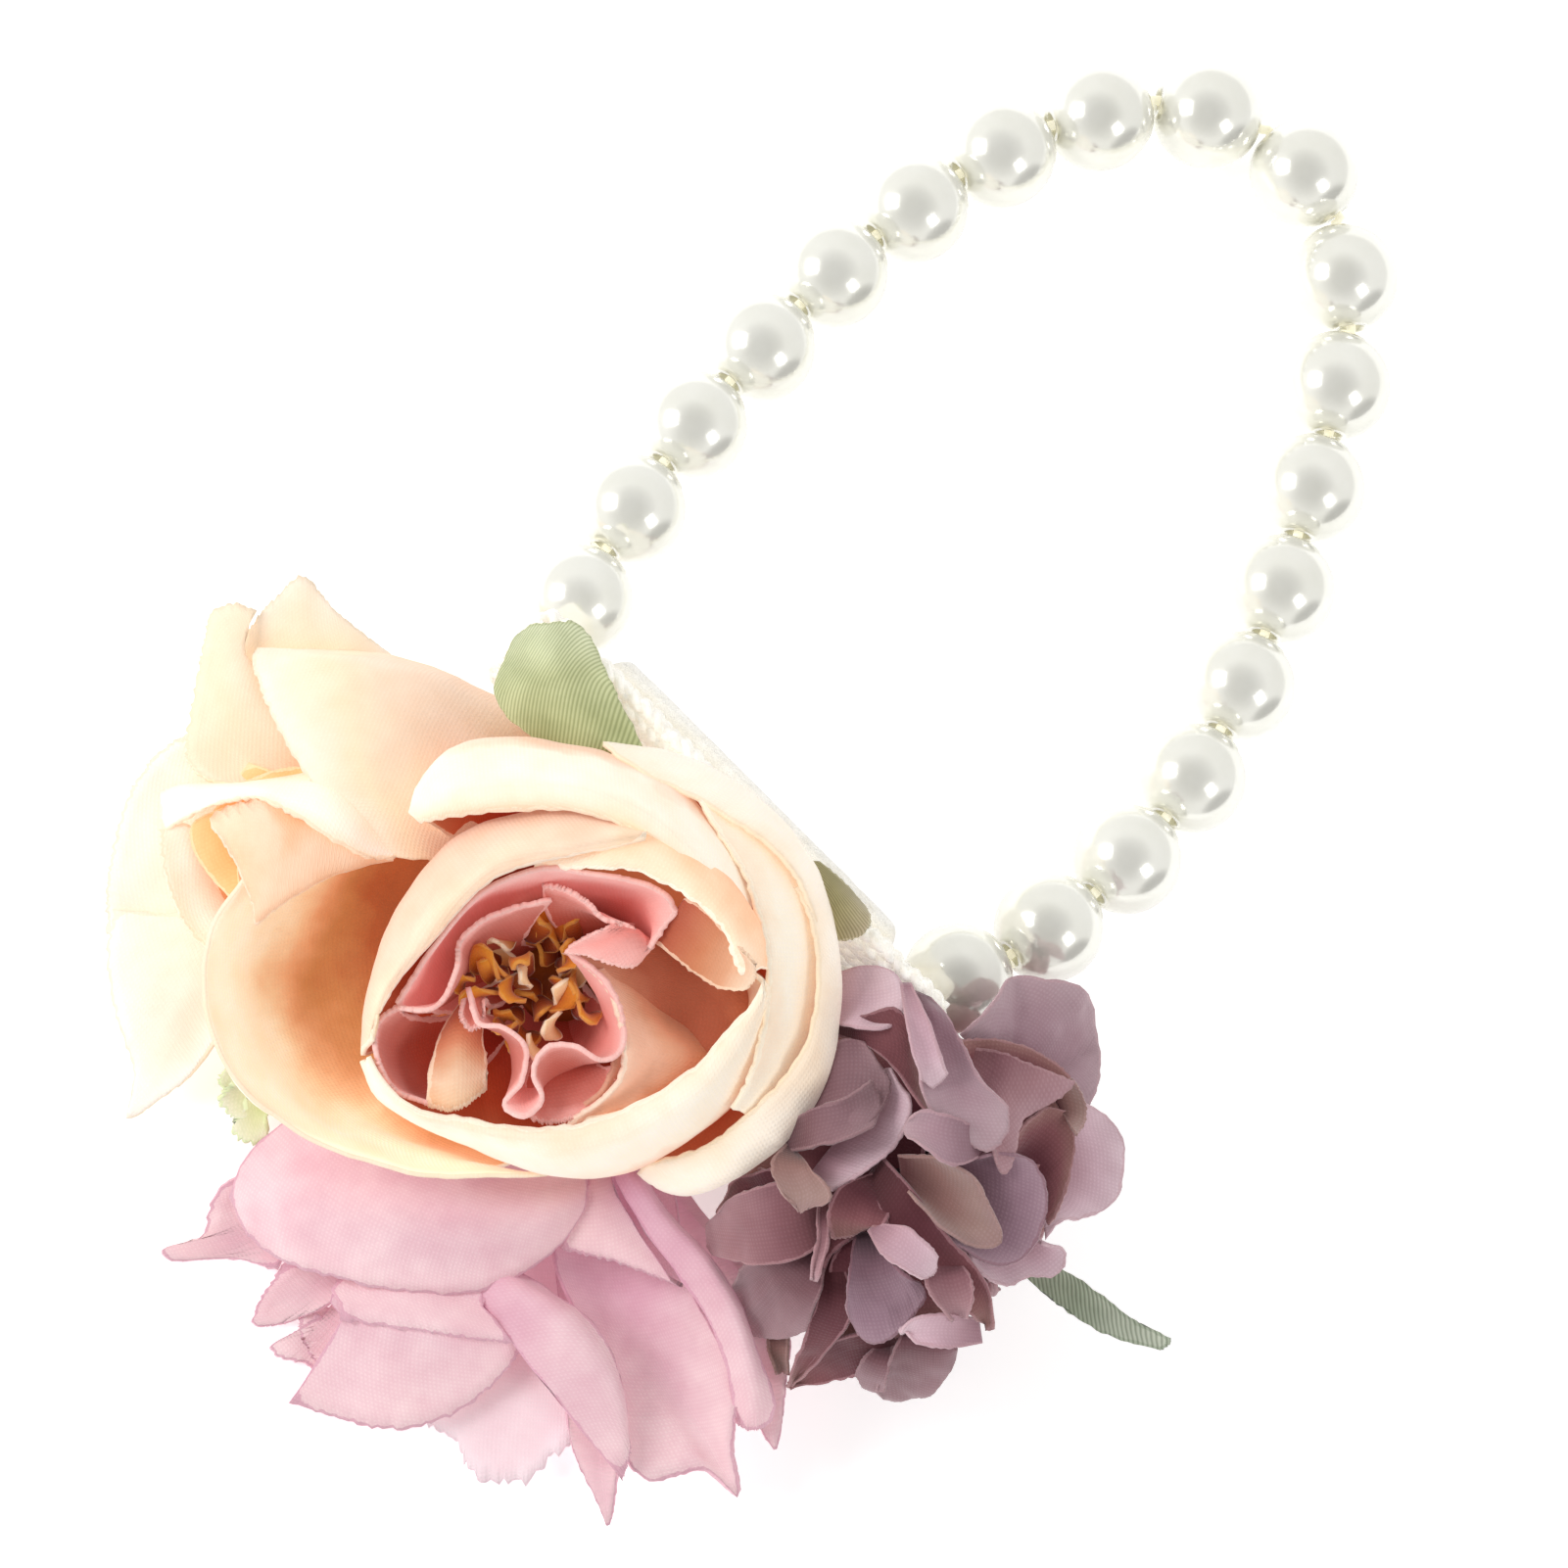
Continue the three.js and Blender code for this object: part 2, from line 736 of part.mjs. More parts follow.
const pinkRose = {
  name: "pink_rose",
  radius: pinkRoseRadius,
  height: pinkRoseHeight,
  flattenShare: 0.48,
  baseShares: [-0.05, 0.18, -0.2175],
  heading: -60,
  elevation: 3,
  roll: 0,
  glueShares: [0.05, 0, -0.0875],
  layers: [
    {
      name: "outer_petals",
      material: "pink",
      rimShare: 1.15,
      bellyShare: 0.75,
      footShare: 0.5,
      footRiseShare: 0.2,
      bellyRiseShare: 0.75,
      topShare: 0.92,
      roundShare: 0.4,
      neckShare: 0.6,
      spiralShare: 0.05,
      petals: [
        { turn: 0, spread: 46 },
        { turn: 52, spread: 44, topShare: 0.9 },
        { turn: 308, spread: 44, topShare: 0.86 },
        { turn: 122, spread: 38, topShare: 0.82 },
        { turn: 246, spread: 42, topShare: 0.76 },
      ],
    },
    {
      name: "middle_petals",
      material: "pink",
      rimShare: 0.9,
      bellyShare: 0.55,
      footShare: 0.36,
      footRiseShare: 0.25,
      bellyRiseShare: 0.75,
      topShare: 0.96,
      roundShare: 0.4,
      neckShare: 0.6,
      spiralShare: 0.05,
      petals: [
        { turn: 200, spread: 54, topShare: 0.72, reachShare: 1.05 },
        { turn: 282, spread: 44, topShare: 0.96 },
        { turn: 105, spread: 44 },
        { turn: 0, spread: 46 },
      ],
    },
    {
      name: "inner_petals",
      material: "pink",
      rimShare: 0.62,
      bellyShare: 0.4,
      footShare: 0.26,
      footRiseShare: 0.3,
      bellyRiseShare: 0.75,
      topShare: 1,
      roundShare: 0.35,
      neckShare: 0.5,
      spiralShare: 0.06,
      petals: [
        { turn: 150, spread: 50 },
        { turn: 240, spread: 46 },
        { turn: 60, spread: 46 },
        { turn: 330, spread: 46 },
      ],
    },
  ],
};

// A leaf or blade along a bent rib, with a stalk that ends at the glue bed or by a flower. The rib's
// points are in shares of the leaf's length, from the place where the leaf starts.
function addLeaf({ name, length, width, ribShares, startShares, stalkShares, pointShare, foldShare }) {
  const start = placeAt(startShares);
  const stalkEnd = placeAt(stalkShares);
  const rib = ribShares.map((share) => new THREE.Vector3(...share).multiplyScalar(length).add(start));
  const curve = new THREE.CatmullRomCurve3(rib);
  const up = new THREE.Vector3(0, 0, 1);
  const surface = (across, along) => {
    const way = curve.getTangent(along);
    const side = up.clone().cross(way).normalize();
    const lift = side.clone().cross(way).normalize();
    const wave = Math.sin(Math.PI * (leafStartShare + leafWaveShare * along));
    const half = (width / 2) * (pointShare + (1 - pointShare) * wave);
    return curve
      .getPoint(along)
      .addScaledVector(side, half * across)
      .addScaledVector(lift, -half * foldShare * Math.abs(across));
  };
  const blade = sheet(surface, leafColumns, leafRows, fabricThickness);
  const stalk = joined([
    rod(curve.getPoint(leafStartShare), start, leafStalkRadius, thinRodSides),
    rod(start, stalkEnd, leafStalkRadius, thinRodSides),
  ]);
  const leaf = largestPiece(cutBy(joined([blade, stalk]), corsage, [tableCut, ...keepOuts]));
  addMesh(corsage, name, leaf, "leaf");
  keepClear(sheet(surface, leafColumns, leafRows, fabricThickness, seatGap), corsage);
  keepClear(rod(start, stalkEnd, leafStalkRadius + seatGap, thinRodSides), corsage);
}

// Room for the end pearls, from rest to the full stretch of the cord
function keepPearlsClear() {
  [0, 1, pearlCount - 2, pearlCount - 1].forEach((k) => {
    const rest = pearlPlaces[k];
    const pulled = rest.clone().multiplyScalar(1 + stretchShare);
    const radius = pearlDiameter / 2 + 2 * seatGap;
    const way = rod(rest, pulled, radius, hubSides);
    keepClear(joined([way, ball(rest, radius), ball(pulled, radius)]), corsage);
  });
}

function ball(middle, radius, detail = 1) {
  return solidOf(new THREE.IcosahedronGeometry(radius, detail).translate(...middle.toArray()));
}

// Room around the felt, the lace and the glue bed
function keepStripClear() {
  const room = (length, width, cornerShare) =>
    roundedOutline(length + 2 * seatGap, width + 2 * seatGap, cornerShare);
  keepClear(slab(room(laceLength, laceWidth, laceCornerShare), cutOverrun, laceOuter - seatGap), corsage);
  keepClear(slab(room(glueLength, glueWidth, glueCornerShare), laceOuter, glueBack - seatGap), corsage);
}

// A floret of four cupped petals on its pin
function floretSolid(radius, cup, thickness, margin = 0) {
  const rings = [pedicelRadius + seatGap - margin, radius * floretRingShare, radius + margin];
  const points = [];
  for (const side of [-1, 1])
    for (const ringRadius of rings)
      for (let k = 0; k < floretSides; k++) {
        const angle = (2 * Math.PI * k) / floretSides;
        const lobe = Math.sqrt(Math.abs(Math.cos(2 * angle)));
        const outer = floretNotchShare + (1 - floretNotchShare) * lobe;
        const r = ringRadius * (ringRadius === rings[0] ? 1 : outer);
        const height = cup * (r / radius) ** floretCupPower + side * (thickness / 2 + margin);
        points.push([r * Math.cos(angle), r * Math.sin(angle), height]);
      }
  const at = (side, ringNumber, k) => (side * rings.length + ringNumber) * floretSides + (k % floretSides);
  const index = [];
  const quad = (a, b, c, d) => index.push(a, b, c, a, c, d);
  for (let k = 0; k < floretSides; k++) {
    for (let j = 0; j + 1 < rings.length; j++) {
      quad(at(1, j, k), at(1, j + 1, k), at(1, j + 1, k + 1), at(1, j, k + 1));
      quad(at(0, j, k + 1), at(0, j + 1, k + 1), at(0, j + 1, k), at(0, j, k));
    }
    const last = rings.length - 1;
    quad(at(0, last, k), at(0, last, k + 1), at(1, last, k + 1), at(1, last, k));
    quad(at(1, 0, k), at(1, 0, k + 1), at(0, 0, k + 1), at(0, 0, k));
  }
  const geometry = new THREE.BufferGeometry()
    .setAttribute("position", new THREE.Float32BufferAttribute(points.flat(), 3))
    .setIndex(index);
  return solidOf(geometry);
}

function addHydrangea({ middleShares, glueShares, florets }) {
  const centre = placeAt(middleShares);
  const stemPieces = [ball(centre, knobRadius), rod(centre, placeAt(glueShares), stemRadius)];
  const solids = [];
  for (const { heading, elevation, turn, reachShare } of florets) {
    const group = flowerGroup({ baseShares: middleShares, heading, elevation, roll: turn });
    const outwards = new THREE.Vector3(0, 0, 1).applyQuaternion(group.quaternion);
    const distance = (hydrangeaRadius - floretCup) * reachShare;
    const seat = centre.clone().addScaledVector(outwards, distance);
    group.position.copy(seat);
    group.updateMatrixWorld(true);
    const pinEnd = seat.clone().addScaledVector(outwards, fabricThickness);
    stemPieces.push(rod(centre, pinEnd, pedicelRadius, thinRodSides));
    solids.push(group);
  }
  const stem = cutBy(joined(stemPieces), corsage, [tableCut, ...keepOuts]);
  addMesh(corsage, "hydrangea_stem", largestPiece(stem), "stem");
  keepClear(ball(centre, knobRadius + seatGap), corsage);
  solids.forEach((group, k) => {
    const floret = floretSolid(floretRadius, floretCup, fabricThickness);
    const cut = largestPiece(cutBy(floret, group, [tableCut, ...keepOuts]));
    addMesh(group, `hydrangea_floret_${String(k + 1).padStart(2, "0")}`, cut, "mauve");
    keepClear(floretSolid(floretRadius, floretCup, fabricThickness, seatGap), group);
  });
}

addPearls();
addCord();
addStrip();
keepStripClear();
keepPearlsClear();
addRose(mainRose);
addLeaf({
  name: "top_leaf",
  length: leafLength,
  width: leafWidth,
  ribShares: [[0, 0, 0], [-0.3, 0.02, 0.12], [-0.66, 0.06, 0.2], [-1, 0.16, 0.22]],
  startShares: [-0.265, 0.0225, 0.25],
  stalkShares: [-0.295, 0, 0.14],
  pointShare: 0.1,
  foldShare: 0.15,
});
addLeaf({
  name: "right_leaf",
  length: sideLeafLength,
  width: sideLeafWidth,
  ribShares: [[0, 0, 0], [0.3, 0.28, 0.12], [0.56, 0.54, 0.16], [0.78, 0.82, 0.12]],
  startShares: [0.1625, 0.0075, 0.25],
  stalkShares: [0.2, 0, 0.14],
  pointShare: 0.1,
  foldShare: 0.15,
});
addRose(sideRose);
addRose(pinkRose);
addLeaf({
  name: "green_sprig",
  length: sprigLength,
  width: sprigWidth,
  ribShares: [[0, 0, 0], [-0.2, -0.3, 0.1], [-0.35, -0.6, 0.12], [-0.35, -0.85, 0.06]],
  startShares: [-0.175, 0.6425, -0.26],
  stalkShares: [-0.15, 0.5425, -0.275],
  pointShare: 0.2,
  foldShare: 0.2,
});
addLeaf({
  name: "blade_leaf",
  length: bladeLength,
  width: bladeWidth,
  ribShares: [[0, 0, 0], [0.293, 0.087, 0.167], [0.653, 0.167, 0.187], [1, 0.287, 0.227]],
  startShares: [0.8125, 0.11, -0.1],
  stalkShares: [0.5, 0.0925, -0.0375],
  pointShare: 0.15,
  foldShare: 0.3,
});
addHydrangea({
  middleShares: [0.615, 0.1375, 0.055],
  glueShares: [0.3, 0, 0],
  florets: [
    { heading: -118, elevation: 76, turn: 20, reachShare: 1 },
    { heading: 48, elevation: 58, turn: 50, reachShare: 0.92 },
    { heading: 147, elevation: 55, turn: 10, reachShare: 0.94 },
    { heading: -144, elevation: 35, turn: 30, reachShare: 1.02 },
    { heading: -85, elevation: 27, turn: 60, reachShare: 0.93 },
    { heading: -26, elevation: 38, turn: 15, reachShare: 1.04 },
    { heading: 22, elevation: 13, turn: 45, reachShare: 0.94 },
    { heading: 68, elevation: 22, turn: 20, reachShare: 1 },
    { heading: 117, elevation: 21, turn: 80, reachShare: 0.92 },
    { heading: -110, elevation: -10, turn: 35, reachShare: 1.03 },
    { heading: -65, elevation: -9, turn: 70, reachShare: 1 },
    { heading: -21, elevation: 0, turn: 5, reachShare: 0.95 },
    { heading: -84, elevation: -49, turn: 50, reachShare: 0.92 },
    { heading: -29, elevation: -42, turn: 10, reachShare: 1 },
    { heading: 15, elevation: -29, turn: 65, reachShare: 0.94 },
  ],
});

export default corsage;
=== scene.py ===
# The looks of a wrist corsage: pearls on an elastic cord, a lace strip with a felt back, three fabric
# roses, a hydrangea and four leaves. Metres, in the frame of the CAD model.

import math
import random

import bpy
from mathutils import Euler, Matrix, Vector, noise


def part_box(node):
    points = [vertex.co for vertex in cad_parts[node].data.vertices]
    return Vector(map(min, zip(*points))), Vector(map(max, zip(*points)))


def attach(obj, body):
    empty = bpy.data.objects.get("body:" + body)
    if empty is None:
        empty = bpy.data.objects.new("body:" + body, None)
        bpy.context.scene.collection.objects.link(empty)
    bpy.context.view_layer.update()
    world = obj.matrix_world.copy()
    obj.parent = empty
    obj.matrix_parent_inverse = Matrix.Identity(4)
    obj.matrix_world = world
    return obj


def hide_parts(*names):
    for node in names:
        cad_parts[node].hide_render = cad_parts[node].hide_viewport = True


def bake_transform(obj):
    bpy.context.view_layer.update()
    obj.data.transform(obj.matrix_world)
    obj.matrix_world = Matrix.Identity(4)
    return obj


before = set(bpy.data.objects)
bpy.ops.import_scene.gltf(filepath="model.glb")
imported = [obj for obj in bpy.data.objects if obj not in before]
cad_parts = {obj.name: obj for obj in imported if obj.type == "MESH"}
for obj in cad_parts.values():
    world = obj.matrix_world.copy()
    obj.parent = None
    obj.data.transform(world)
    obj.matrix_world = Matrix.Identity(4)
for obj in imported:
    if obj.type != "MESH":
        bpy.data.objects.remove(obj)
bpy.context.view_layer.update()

MM = 0.001
FLOWERS = "strip_and_flowers"
scene = bpy.context.scene

# The photograph's frame: the pixel where the CAD origin falls, its scale and the camera's axes
origin_pixel = (505.7, 582.8)
middle_pixel = (530, 565)
pixels_across = 940
pixel = MM / 8.625
image_right = Vector((0.7071, 0.6762, 0.2067)).normalized()
image_up = Vector((-0.7071, 0.6762, 0.2067)).normalized()
towards_camera = image_right.cross(image_up)
camera_distance = 3.0
far_clip = 10
sensor_width = 36
table_drop = 13 * MM
fabric = 0.35 * MM


def at_pixel(x, y, depth=0):
    """Place that shows at a pixel of the photograph, depth pixels nearer the camera than the origin"""
    right = image_right * (x - origin_pixel[0]) * pixel
    up = image_up * (origin_pixel[1] - y) * pixel
    return right + up + towards_camera * depth * pixel


def add_camera():
    data = bpy.data.cameras.new("camera")
    data.sensor_width = sensor_width
    data.lens = sensor_width * camera_distance / (pixels_across * pixel)
    data.clip_end = far_clip
    camera = bpy.data.objects.new("camera", data)
    turn = Matrix((image_right, image_up, towards_camera)).transposed()
    place = at_pixel(*middle_pixel) + towards_camera * camera_distance
    camera.matrix_world = Matrix.Translation(place) @ turn.to_4x4()
    scene.collection.objects.link(camera)
    scene.camera = camera


add_camera()

# Colours and materials
wave_radians = 20  # that a wave texture turns in one unit of its vector


def rgb(code):
    """Linear colour from a hex code"""
    parts = [int(code[k : k + 2], 16) / 255 for k in (0, 2, 4)]
    return (*(c / 12.92 if c <= 0.04045 else ((c + 0.055) / 1.055) ** 2.4 for c in parts), 1)


white = rgb("ffffff")


class Nodes:
    """A node tree, built a node at a time"""

    def __init__(self, tree):
        self.tree = tree

    def add(self, kind, links=(), **values):
        node = self.tree.nodes.new(kind)
        for key, value in values.items():
            if hasattr(node, key):
                setattr(node, key, value)
            else:
                node.inputs[key.replace("_", " ")].default_value = value
        for socket, source in dict(links).items():
            self.tree.links.new(source, node.inputs[socket])
        return node

    def fill(self, sockets, values):
        """Each socket linked to its value, or set to it where that is a plain number or colour"""
        for socket, value in zip(sockets, values):
            if isinstance(value, (int, float, tuple)):
                socket.default_value = value
            else:
                self.tree.links.new(value, socket)

    def attribute(self, name):
        return self.add("ShaderNodeAttribute", attribute_name=name)

    def maths(self, operation, first, second):
        node = self.add("ShaderNodeMath", operation=operation)
        self.fill(node.inputs, (first, second))
        return node.outputs[0]

    def with_vector(self, operation, vector, other):
        node = self.add("ShaderNodeVectorMath", {0: vector}, operation=operation)
        node.inputs[1].default_value = other
        return node

    def stretched(self, vector, shares):
        return self.with_vector("MULTIPLY", vector, shares).outputs["Vector"]

    def along_axis(self, vector, axis):
        return self.with_vector("DOT_PRODUCT", vector, axis).outputs["Value"]

    def ramp(self, source, stops):
        """Colours from stops of a position and a colour"""
        node = self.add("ShaderNodeValToRGB", {"Fac": source})
        elements = node.color_ramp.elements
        while len(elements) < len(stops):
            elements.new(0.5)
        for element, (position, colour) in zip(elements, stops):
            element.position = position
            element.color = colour
        return node.outputs["Color"]

    def fade(self, source, limits, first, second):
        """Colours from one hex code to another between two limits"""
        return self.ramp(source, [(limits[0], rgb(first)), (limits[1], rgb(second))])

    def mix(self, factor, first, second, blend="MIX"):
        node = self.add("ShaderNodeMix", data_type="RGBA", blend_type=blend)
        self.fill((node.inputs[0], node.inputs[6], node.inputs[7]), (factor, first, second))
        return node.outputs[2]

    def noise(self, size, detail=3, vector=None):
        """Noise with features of a size in metres"""
        if vector is None:
            vector = self.add("ShaderNodeTexCoord").outputs["Object"]
        node = self.add("ShaderNodeTexNoise", {"Vector": vector}, Scale=1 / size, Detail=detail)
        return node.outputs["Fac"]

    def wave(self, vector, pitch, direction="X"):
        """Stripes of a pitch in metres across a vector"""
        scale = 2 * math.pi / wave_radians / pitch
        kind = {"bands_direction": direction, "wave_type": "BANDS"}
        return self.add("ShaderNodeTexWave", {"Vector": vector}, Scale=scale, **kind).outputs["Fac"]


class Paint(Nodes):
    """The nodes of a material"""

    def __init__(self, name, roughness, **settings):
        self.material = bpy.data.materials.new(name)
        self.material.use_nodes = True
        super().__init__(self.material.node_tree)
        self.shader = self.tree.nodes["Principled BSDF"]
        self.shader.inputs["Roughness"].default_value = roughness
        for key, value in settings.items():
            self.shader.inputs[key.replace("_", " ")].default_value = value

    def finish(self, colour, height, bump_depth, painted_glow):
        """Links colour and relief. The glow is painted light: emission in the surface's own colour that
        stands in for the light that comes through thin cloth or milky plastic and bounces between parts
        """
        self.tree.links.new(colour, self.shader.inputs["Base Color"])
        # Painted light: the surface glows in its own colour
        if painted_glow:
            self.tree.links.new(colour, self.shader.inputs["Emission Color"])
            self.shader.inputs["Emission Strength"].default_value = painted_glow
        bump = self.add("ShaderNodeBump", {"Height": height}, Distance=bump_depth, Strength=1.0)
        self.tree.links.new(bump.outputs["Normal"], self.shader.inputs["Normal"])
        return self.material


# Cloth: sizes of its flecks, clouds, tears, creases and threads, and the widths of its cut edges
fabric_roughness = 0.85
fleck_detail = 5
coarse_detail = 2
fleck_range = (0.3, 0.7)
cloud_range = (0.42, 0.62)
thread_range = (0.1, 0.7)
wobble_size = 5 * MM
wobble_share = 0.25
fleck_size = 2.2 * MM
fleck_share = 0.3
cloud_size = 9 * MM
tear_size = 0.7 * MM
crease_size = 0.9 * MM
crease_shares = (1, 0.2, 1)
floret_crease = 0.12 * MM
weave_pitch = 0.3 * MM
weave_depth = 0.02 * MM
twill_pitch = 0.19 * MM
twill_depth = 0.03 * MM
wide_edge = 0.3 * MM
rim_edge = 0.25 * MM
petal_edge = 0.22 * MM
thin_edge = 0.2 * MM
lobe_edge = 0.1 * MM


def cloth_material(name, stops, edge, edge_width, mottle, twill=False, weave_share=0.12, edge_share=0.6,
                   painted_glow=0.14, cloud_share=0.15, crease=0.0):
    """Woven fabric, coloured from the foot of the petal (0) to its rim (1) by its dye and by painted shade,
    darker towards the foot, with darker or lighter cut edges
    """
    nodes = Paint(name, fabric_roughness, Sheen_Weight=0.25, Sheen_Roughness=0.5, Specular_IOR_Level=0.25)
    along = nodes.attribute("along").outputs["Fac"]
    wobble = nodes.maths("SUBTRACT", nodes.noise(wobble_size), 0.5)
    shifted = nodes.maths("ADD", along, nodes.maths("MULTIPLY", wobble, wobble_share))
    # Colour from foot to rim: the dye and painted shade
    dye_and_shade = nodes.ramp(shifted, [(position, rgb(code)) for position, code in stops])
    flecks = nodes.fade(nodes.noise(fleck_size, fleck_detail), fleck_range, "ffffff", mottle)
    dye_and_shade = nodes.mix(fleck_share, dye_and_shade, flecks, "MULTIPLY")
    clouds = nodes.fade(nodes.noise(cloud_size, coarse_detail), cloud_range, "ffffff", mottle)
    dye_and_shade = nodes.mix(cloud_share, dye_and_shade, clouds, "MULTIPLY")
    border = nodes.attribute("border").outputs["Fac"]
    torn = nodes.maths("MULTIPLY", nodes.noise(tear_size), 2 * edge_width)
    at_edge = nodes.maths("LESS_THAN", border, torn)
    colour = nodes.mix(nodes.maths("MULTIPLY", at_edge, edge_share), dye_and_shade, rgb(edge))
    threads = nodes.attribute("threads").outputs["Vector"]
    if twill:
        depth = twill_depth
        weave = nodes.wave(threads, twill_pitch, "DIAGONAL")
    else:
        depth = weave_depth
        warp = nodes.wave(threads, weave_pitch, "X")
        weft = nodes.wave(threads, weave_pitch, "Y")
        weave = nodes.maths("MULTIPLY", warp, weft)
    shade = nodes.fade(weave, thread_range, mottle, "ffffff")
    colour = nodes.mix(weave_share, colour, shade, "MULTIPLY")
    relief = weave
    if crease:
        creases = nodes.noise(crease_size, coarse_detail, nodes.stretched(threads, crease_shares))
        relief = nodes.maths("ADD", weave, nodes.maths("MULTIPLY", creases, crease / depth))
    return nodes.finish(colour, relief, depth, painted_glow)


# The peach cloths deepen to orange towards the foot: partly the dye, partly painted shade where petals
# overlap and in the rose's crevices
peach_outside = cloth_material(
    "peach_outside",
    [(0.3, "e0a078"), (0.68, "f2ccb2"), (0.76, "faf0e0"), (0.9, "faf4e6"), (1, "f8e6d0")],
    "fff4e0", wide_edge, "faead6", painted_glow=0.2)
peach_inside = cloth_material(
    "peach_inside",
    [(0.1, "a03c28"), (0.4, "bc4a33"), (0.5, "cc5c3a"), (0.65, "d87c58"), (0.75, "d68e6c"),
     (0.82, "e0b08e"), (0.9, "f6dec4"), (1, "f4d8b4")],
    "fff0d8", wide_edge, "f4c8a4")
pale_outside = cloth_material(
    "pale_outside", [(0.15, "e8b08a"), (0.5, "f2dcc8"), (0.75, "f6eee4"), (0.9, "faf0e2"),
                     (1, "fae8d2")],
    "efd9b8", petal_edge, "fbeedd", edge_share=0.4, painted_glow=0.2, cloud_share=0.05)
pale_inside = cloth_material(
    "pale_inside",
    [(0.1, "e5b091"), (0.3, "f5d7c3"), (0.5, "f3d5bf"), (0.7, "f7dcc3"), (0.8, "fce8ca"), (1, "fcf0e0")],
    "f4e0c0", petal_edge, "fae8d6", edge_share=0.4)
# Lighter than pale_inside towards the rim: painted light on the far left petals of the side rose
far_inside = cloth_material(
    "far_inside",
    [(0.1, "e8b898"), (0.3, "f8e0d4"), (0.5, "f6dfd2"), (0.7, "fae7d6"), (0.8, "fff1e2"), (1, "fffcf5")],
    "f4e0c0", petal_edge, "fae8d6", edge_share=0.4)
warm_inside = cloth_material(
    "warm_inside", [(0.3, "f0c8a6"), (0.75, "fbe3cc"), (0.9, "fee5cb"), (1, "feebd2")],
    "f4e0c0", petal_edge, "fae8d6", edge_share=0.4)
# The tall petal's cloth is darker just inside its rim: painted shade under the crescent
tall_cloth = cloth_material(
    "tall_cloth", [(0.3, "d89468"), (0.72, "ecc8b2"), (0.85, "eed0ba"), (0.93, "f6dcc4"), (1, "fae2c6")],
    "fff4e0", wide_edge, "f8dcc4", painted_glow=0.2)
rose_outside = cloth_material(
    "rose_outside", [(0.1, "8a2a22"), (0.45, "c05a50"), (0.6, "e48a80"), (0.8, "efa098"), (1, "fac6c0")],
    "fcd0c8", rim_edge, "eeb4aa")
rose_inside = cloth_material(
    "rose_inside",
    [(0.15, "5c120a"), (0.5, "b2402e"), (0.7, "c65c46"), (0.85, "cc7466"), (0.95, "d88a7e"),
     (1, "f6b8b0")],
    "fac8c0", rim_edge, "e6a298")
pink_outside = cloth_material(
    "pink_outside", [(0.1, "d9a4ba"), (0.45, "ebc4d2"), (0.8, "f4d6dc"), (1, "f8dedd")],
    "cc8ea6", petal_edge, "e6c0d0", edge_share=0.55, weave_share=0.18, painted_glow=0.18)
pink_inside = cloth_material(
    "pink_inside", [(0.1, "c47c9c"), (0.45, "dcaabd"), (0.8, "e9c9ce"), (1, "f4d7d8")],
    "cc8ea6", petal_edge, "e0b4c8", edge_share=0.55, weave_share=0.18)
# Curled rim: darker orange away from the rim, painted shade
curl_cloth = cloth_material(
    "curl_cloth", [(0.6, "ee9c6c"), (0.78, "f2b98e"), (0.88, "f7d2b0"), (0.96, "fbe4ca"), (1, "fce8d0")],
    "fff6e4", rim_edge, "fae2cc", painted_glow=0.25)
# Turned lobe: darker towards its foot, painted shade
lobe_cloth = cloth_material(
    "lobe_cloth",
    [(0.02, "943c26"), (0.2, "b4644a"), (0.45, "c88460"), (0.7, "dca684"), (0.9, "ecccb0"),
     (1, "f4dcc4")],
    "f8dcc0", rim_edge, "f4d2b8", painted_glow=0.2)
shade_cloth = cloth_material(
    "shade_cloth", [(0.6, "bf7656"), (0.7, "a85c42"), (0.85, "b06248"), (0.93, "c8866a"), (1, "dca890")],
    "d8a48c", thin_edge, "f0d0bc")
lit_cloth = cloth_material(
    "lit_cloth",
    [(0.6, "a86448"), (0.75, "c38463"), (0.8, "d59172"), (0.85, "e1a98b"), (0.9, "f0c1a8"),
     (1, "f9d0b9")],
    "fde8d4", rim_edge, "f6dcc8")
pale_pink = cloth_material(
    "pale_pink", [(0.2, "e6c0cc"), (0.6, "f2d2da"), (0.85, "f0d6da"), (1, "f8e6ea")],
    "f0d4dc", petal_edge, "f4dfe6")
# Bowl: deep orange at the foot, partly the dye and partly painted shade
bowl_cloth = cloth_material(
    "bowl_cloth",
    [(0.4, "a8603c"), (0.47, "b4663e"), (0.55, "c88a58"), (0.6, "dc9e70"), (0.65, "ecb88c"),
     (0.7, "f6d6ae"), (0.76, "fcf0d2"), (0.87, "fffae4"), (1, "fff4dc")],
    "fff8dc", rim_edge, "f8e2c4", painted_glow=0.3, cloud_share=0.0)
roll_cloth = cloth_material(
    "roll_cloth", [(0.3, "f4d8bc"), (0.55, "fdeedc"), (0.85, "fff6ea"), (1, "fcecd8")],
    "f0d4b4", thin_edge, "fbeedd", edge_share=0.5, painted_glow=0.25)
# Front face: orange near its top, painted shade under the rolled rim
face_cloth = cloth_material(
    "face_cloth", [(0.6, "e4a070"), (0.76, "eebc94"), (0.84, "f6d6bc"), (0.93, "f6d4b8"), (1, "f2c8a6")],
    "fce4cc", thin_edge, "f6dcc4", painted_glow=0.2)
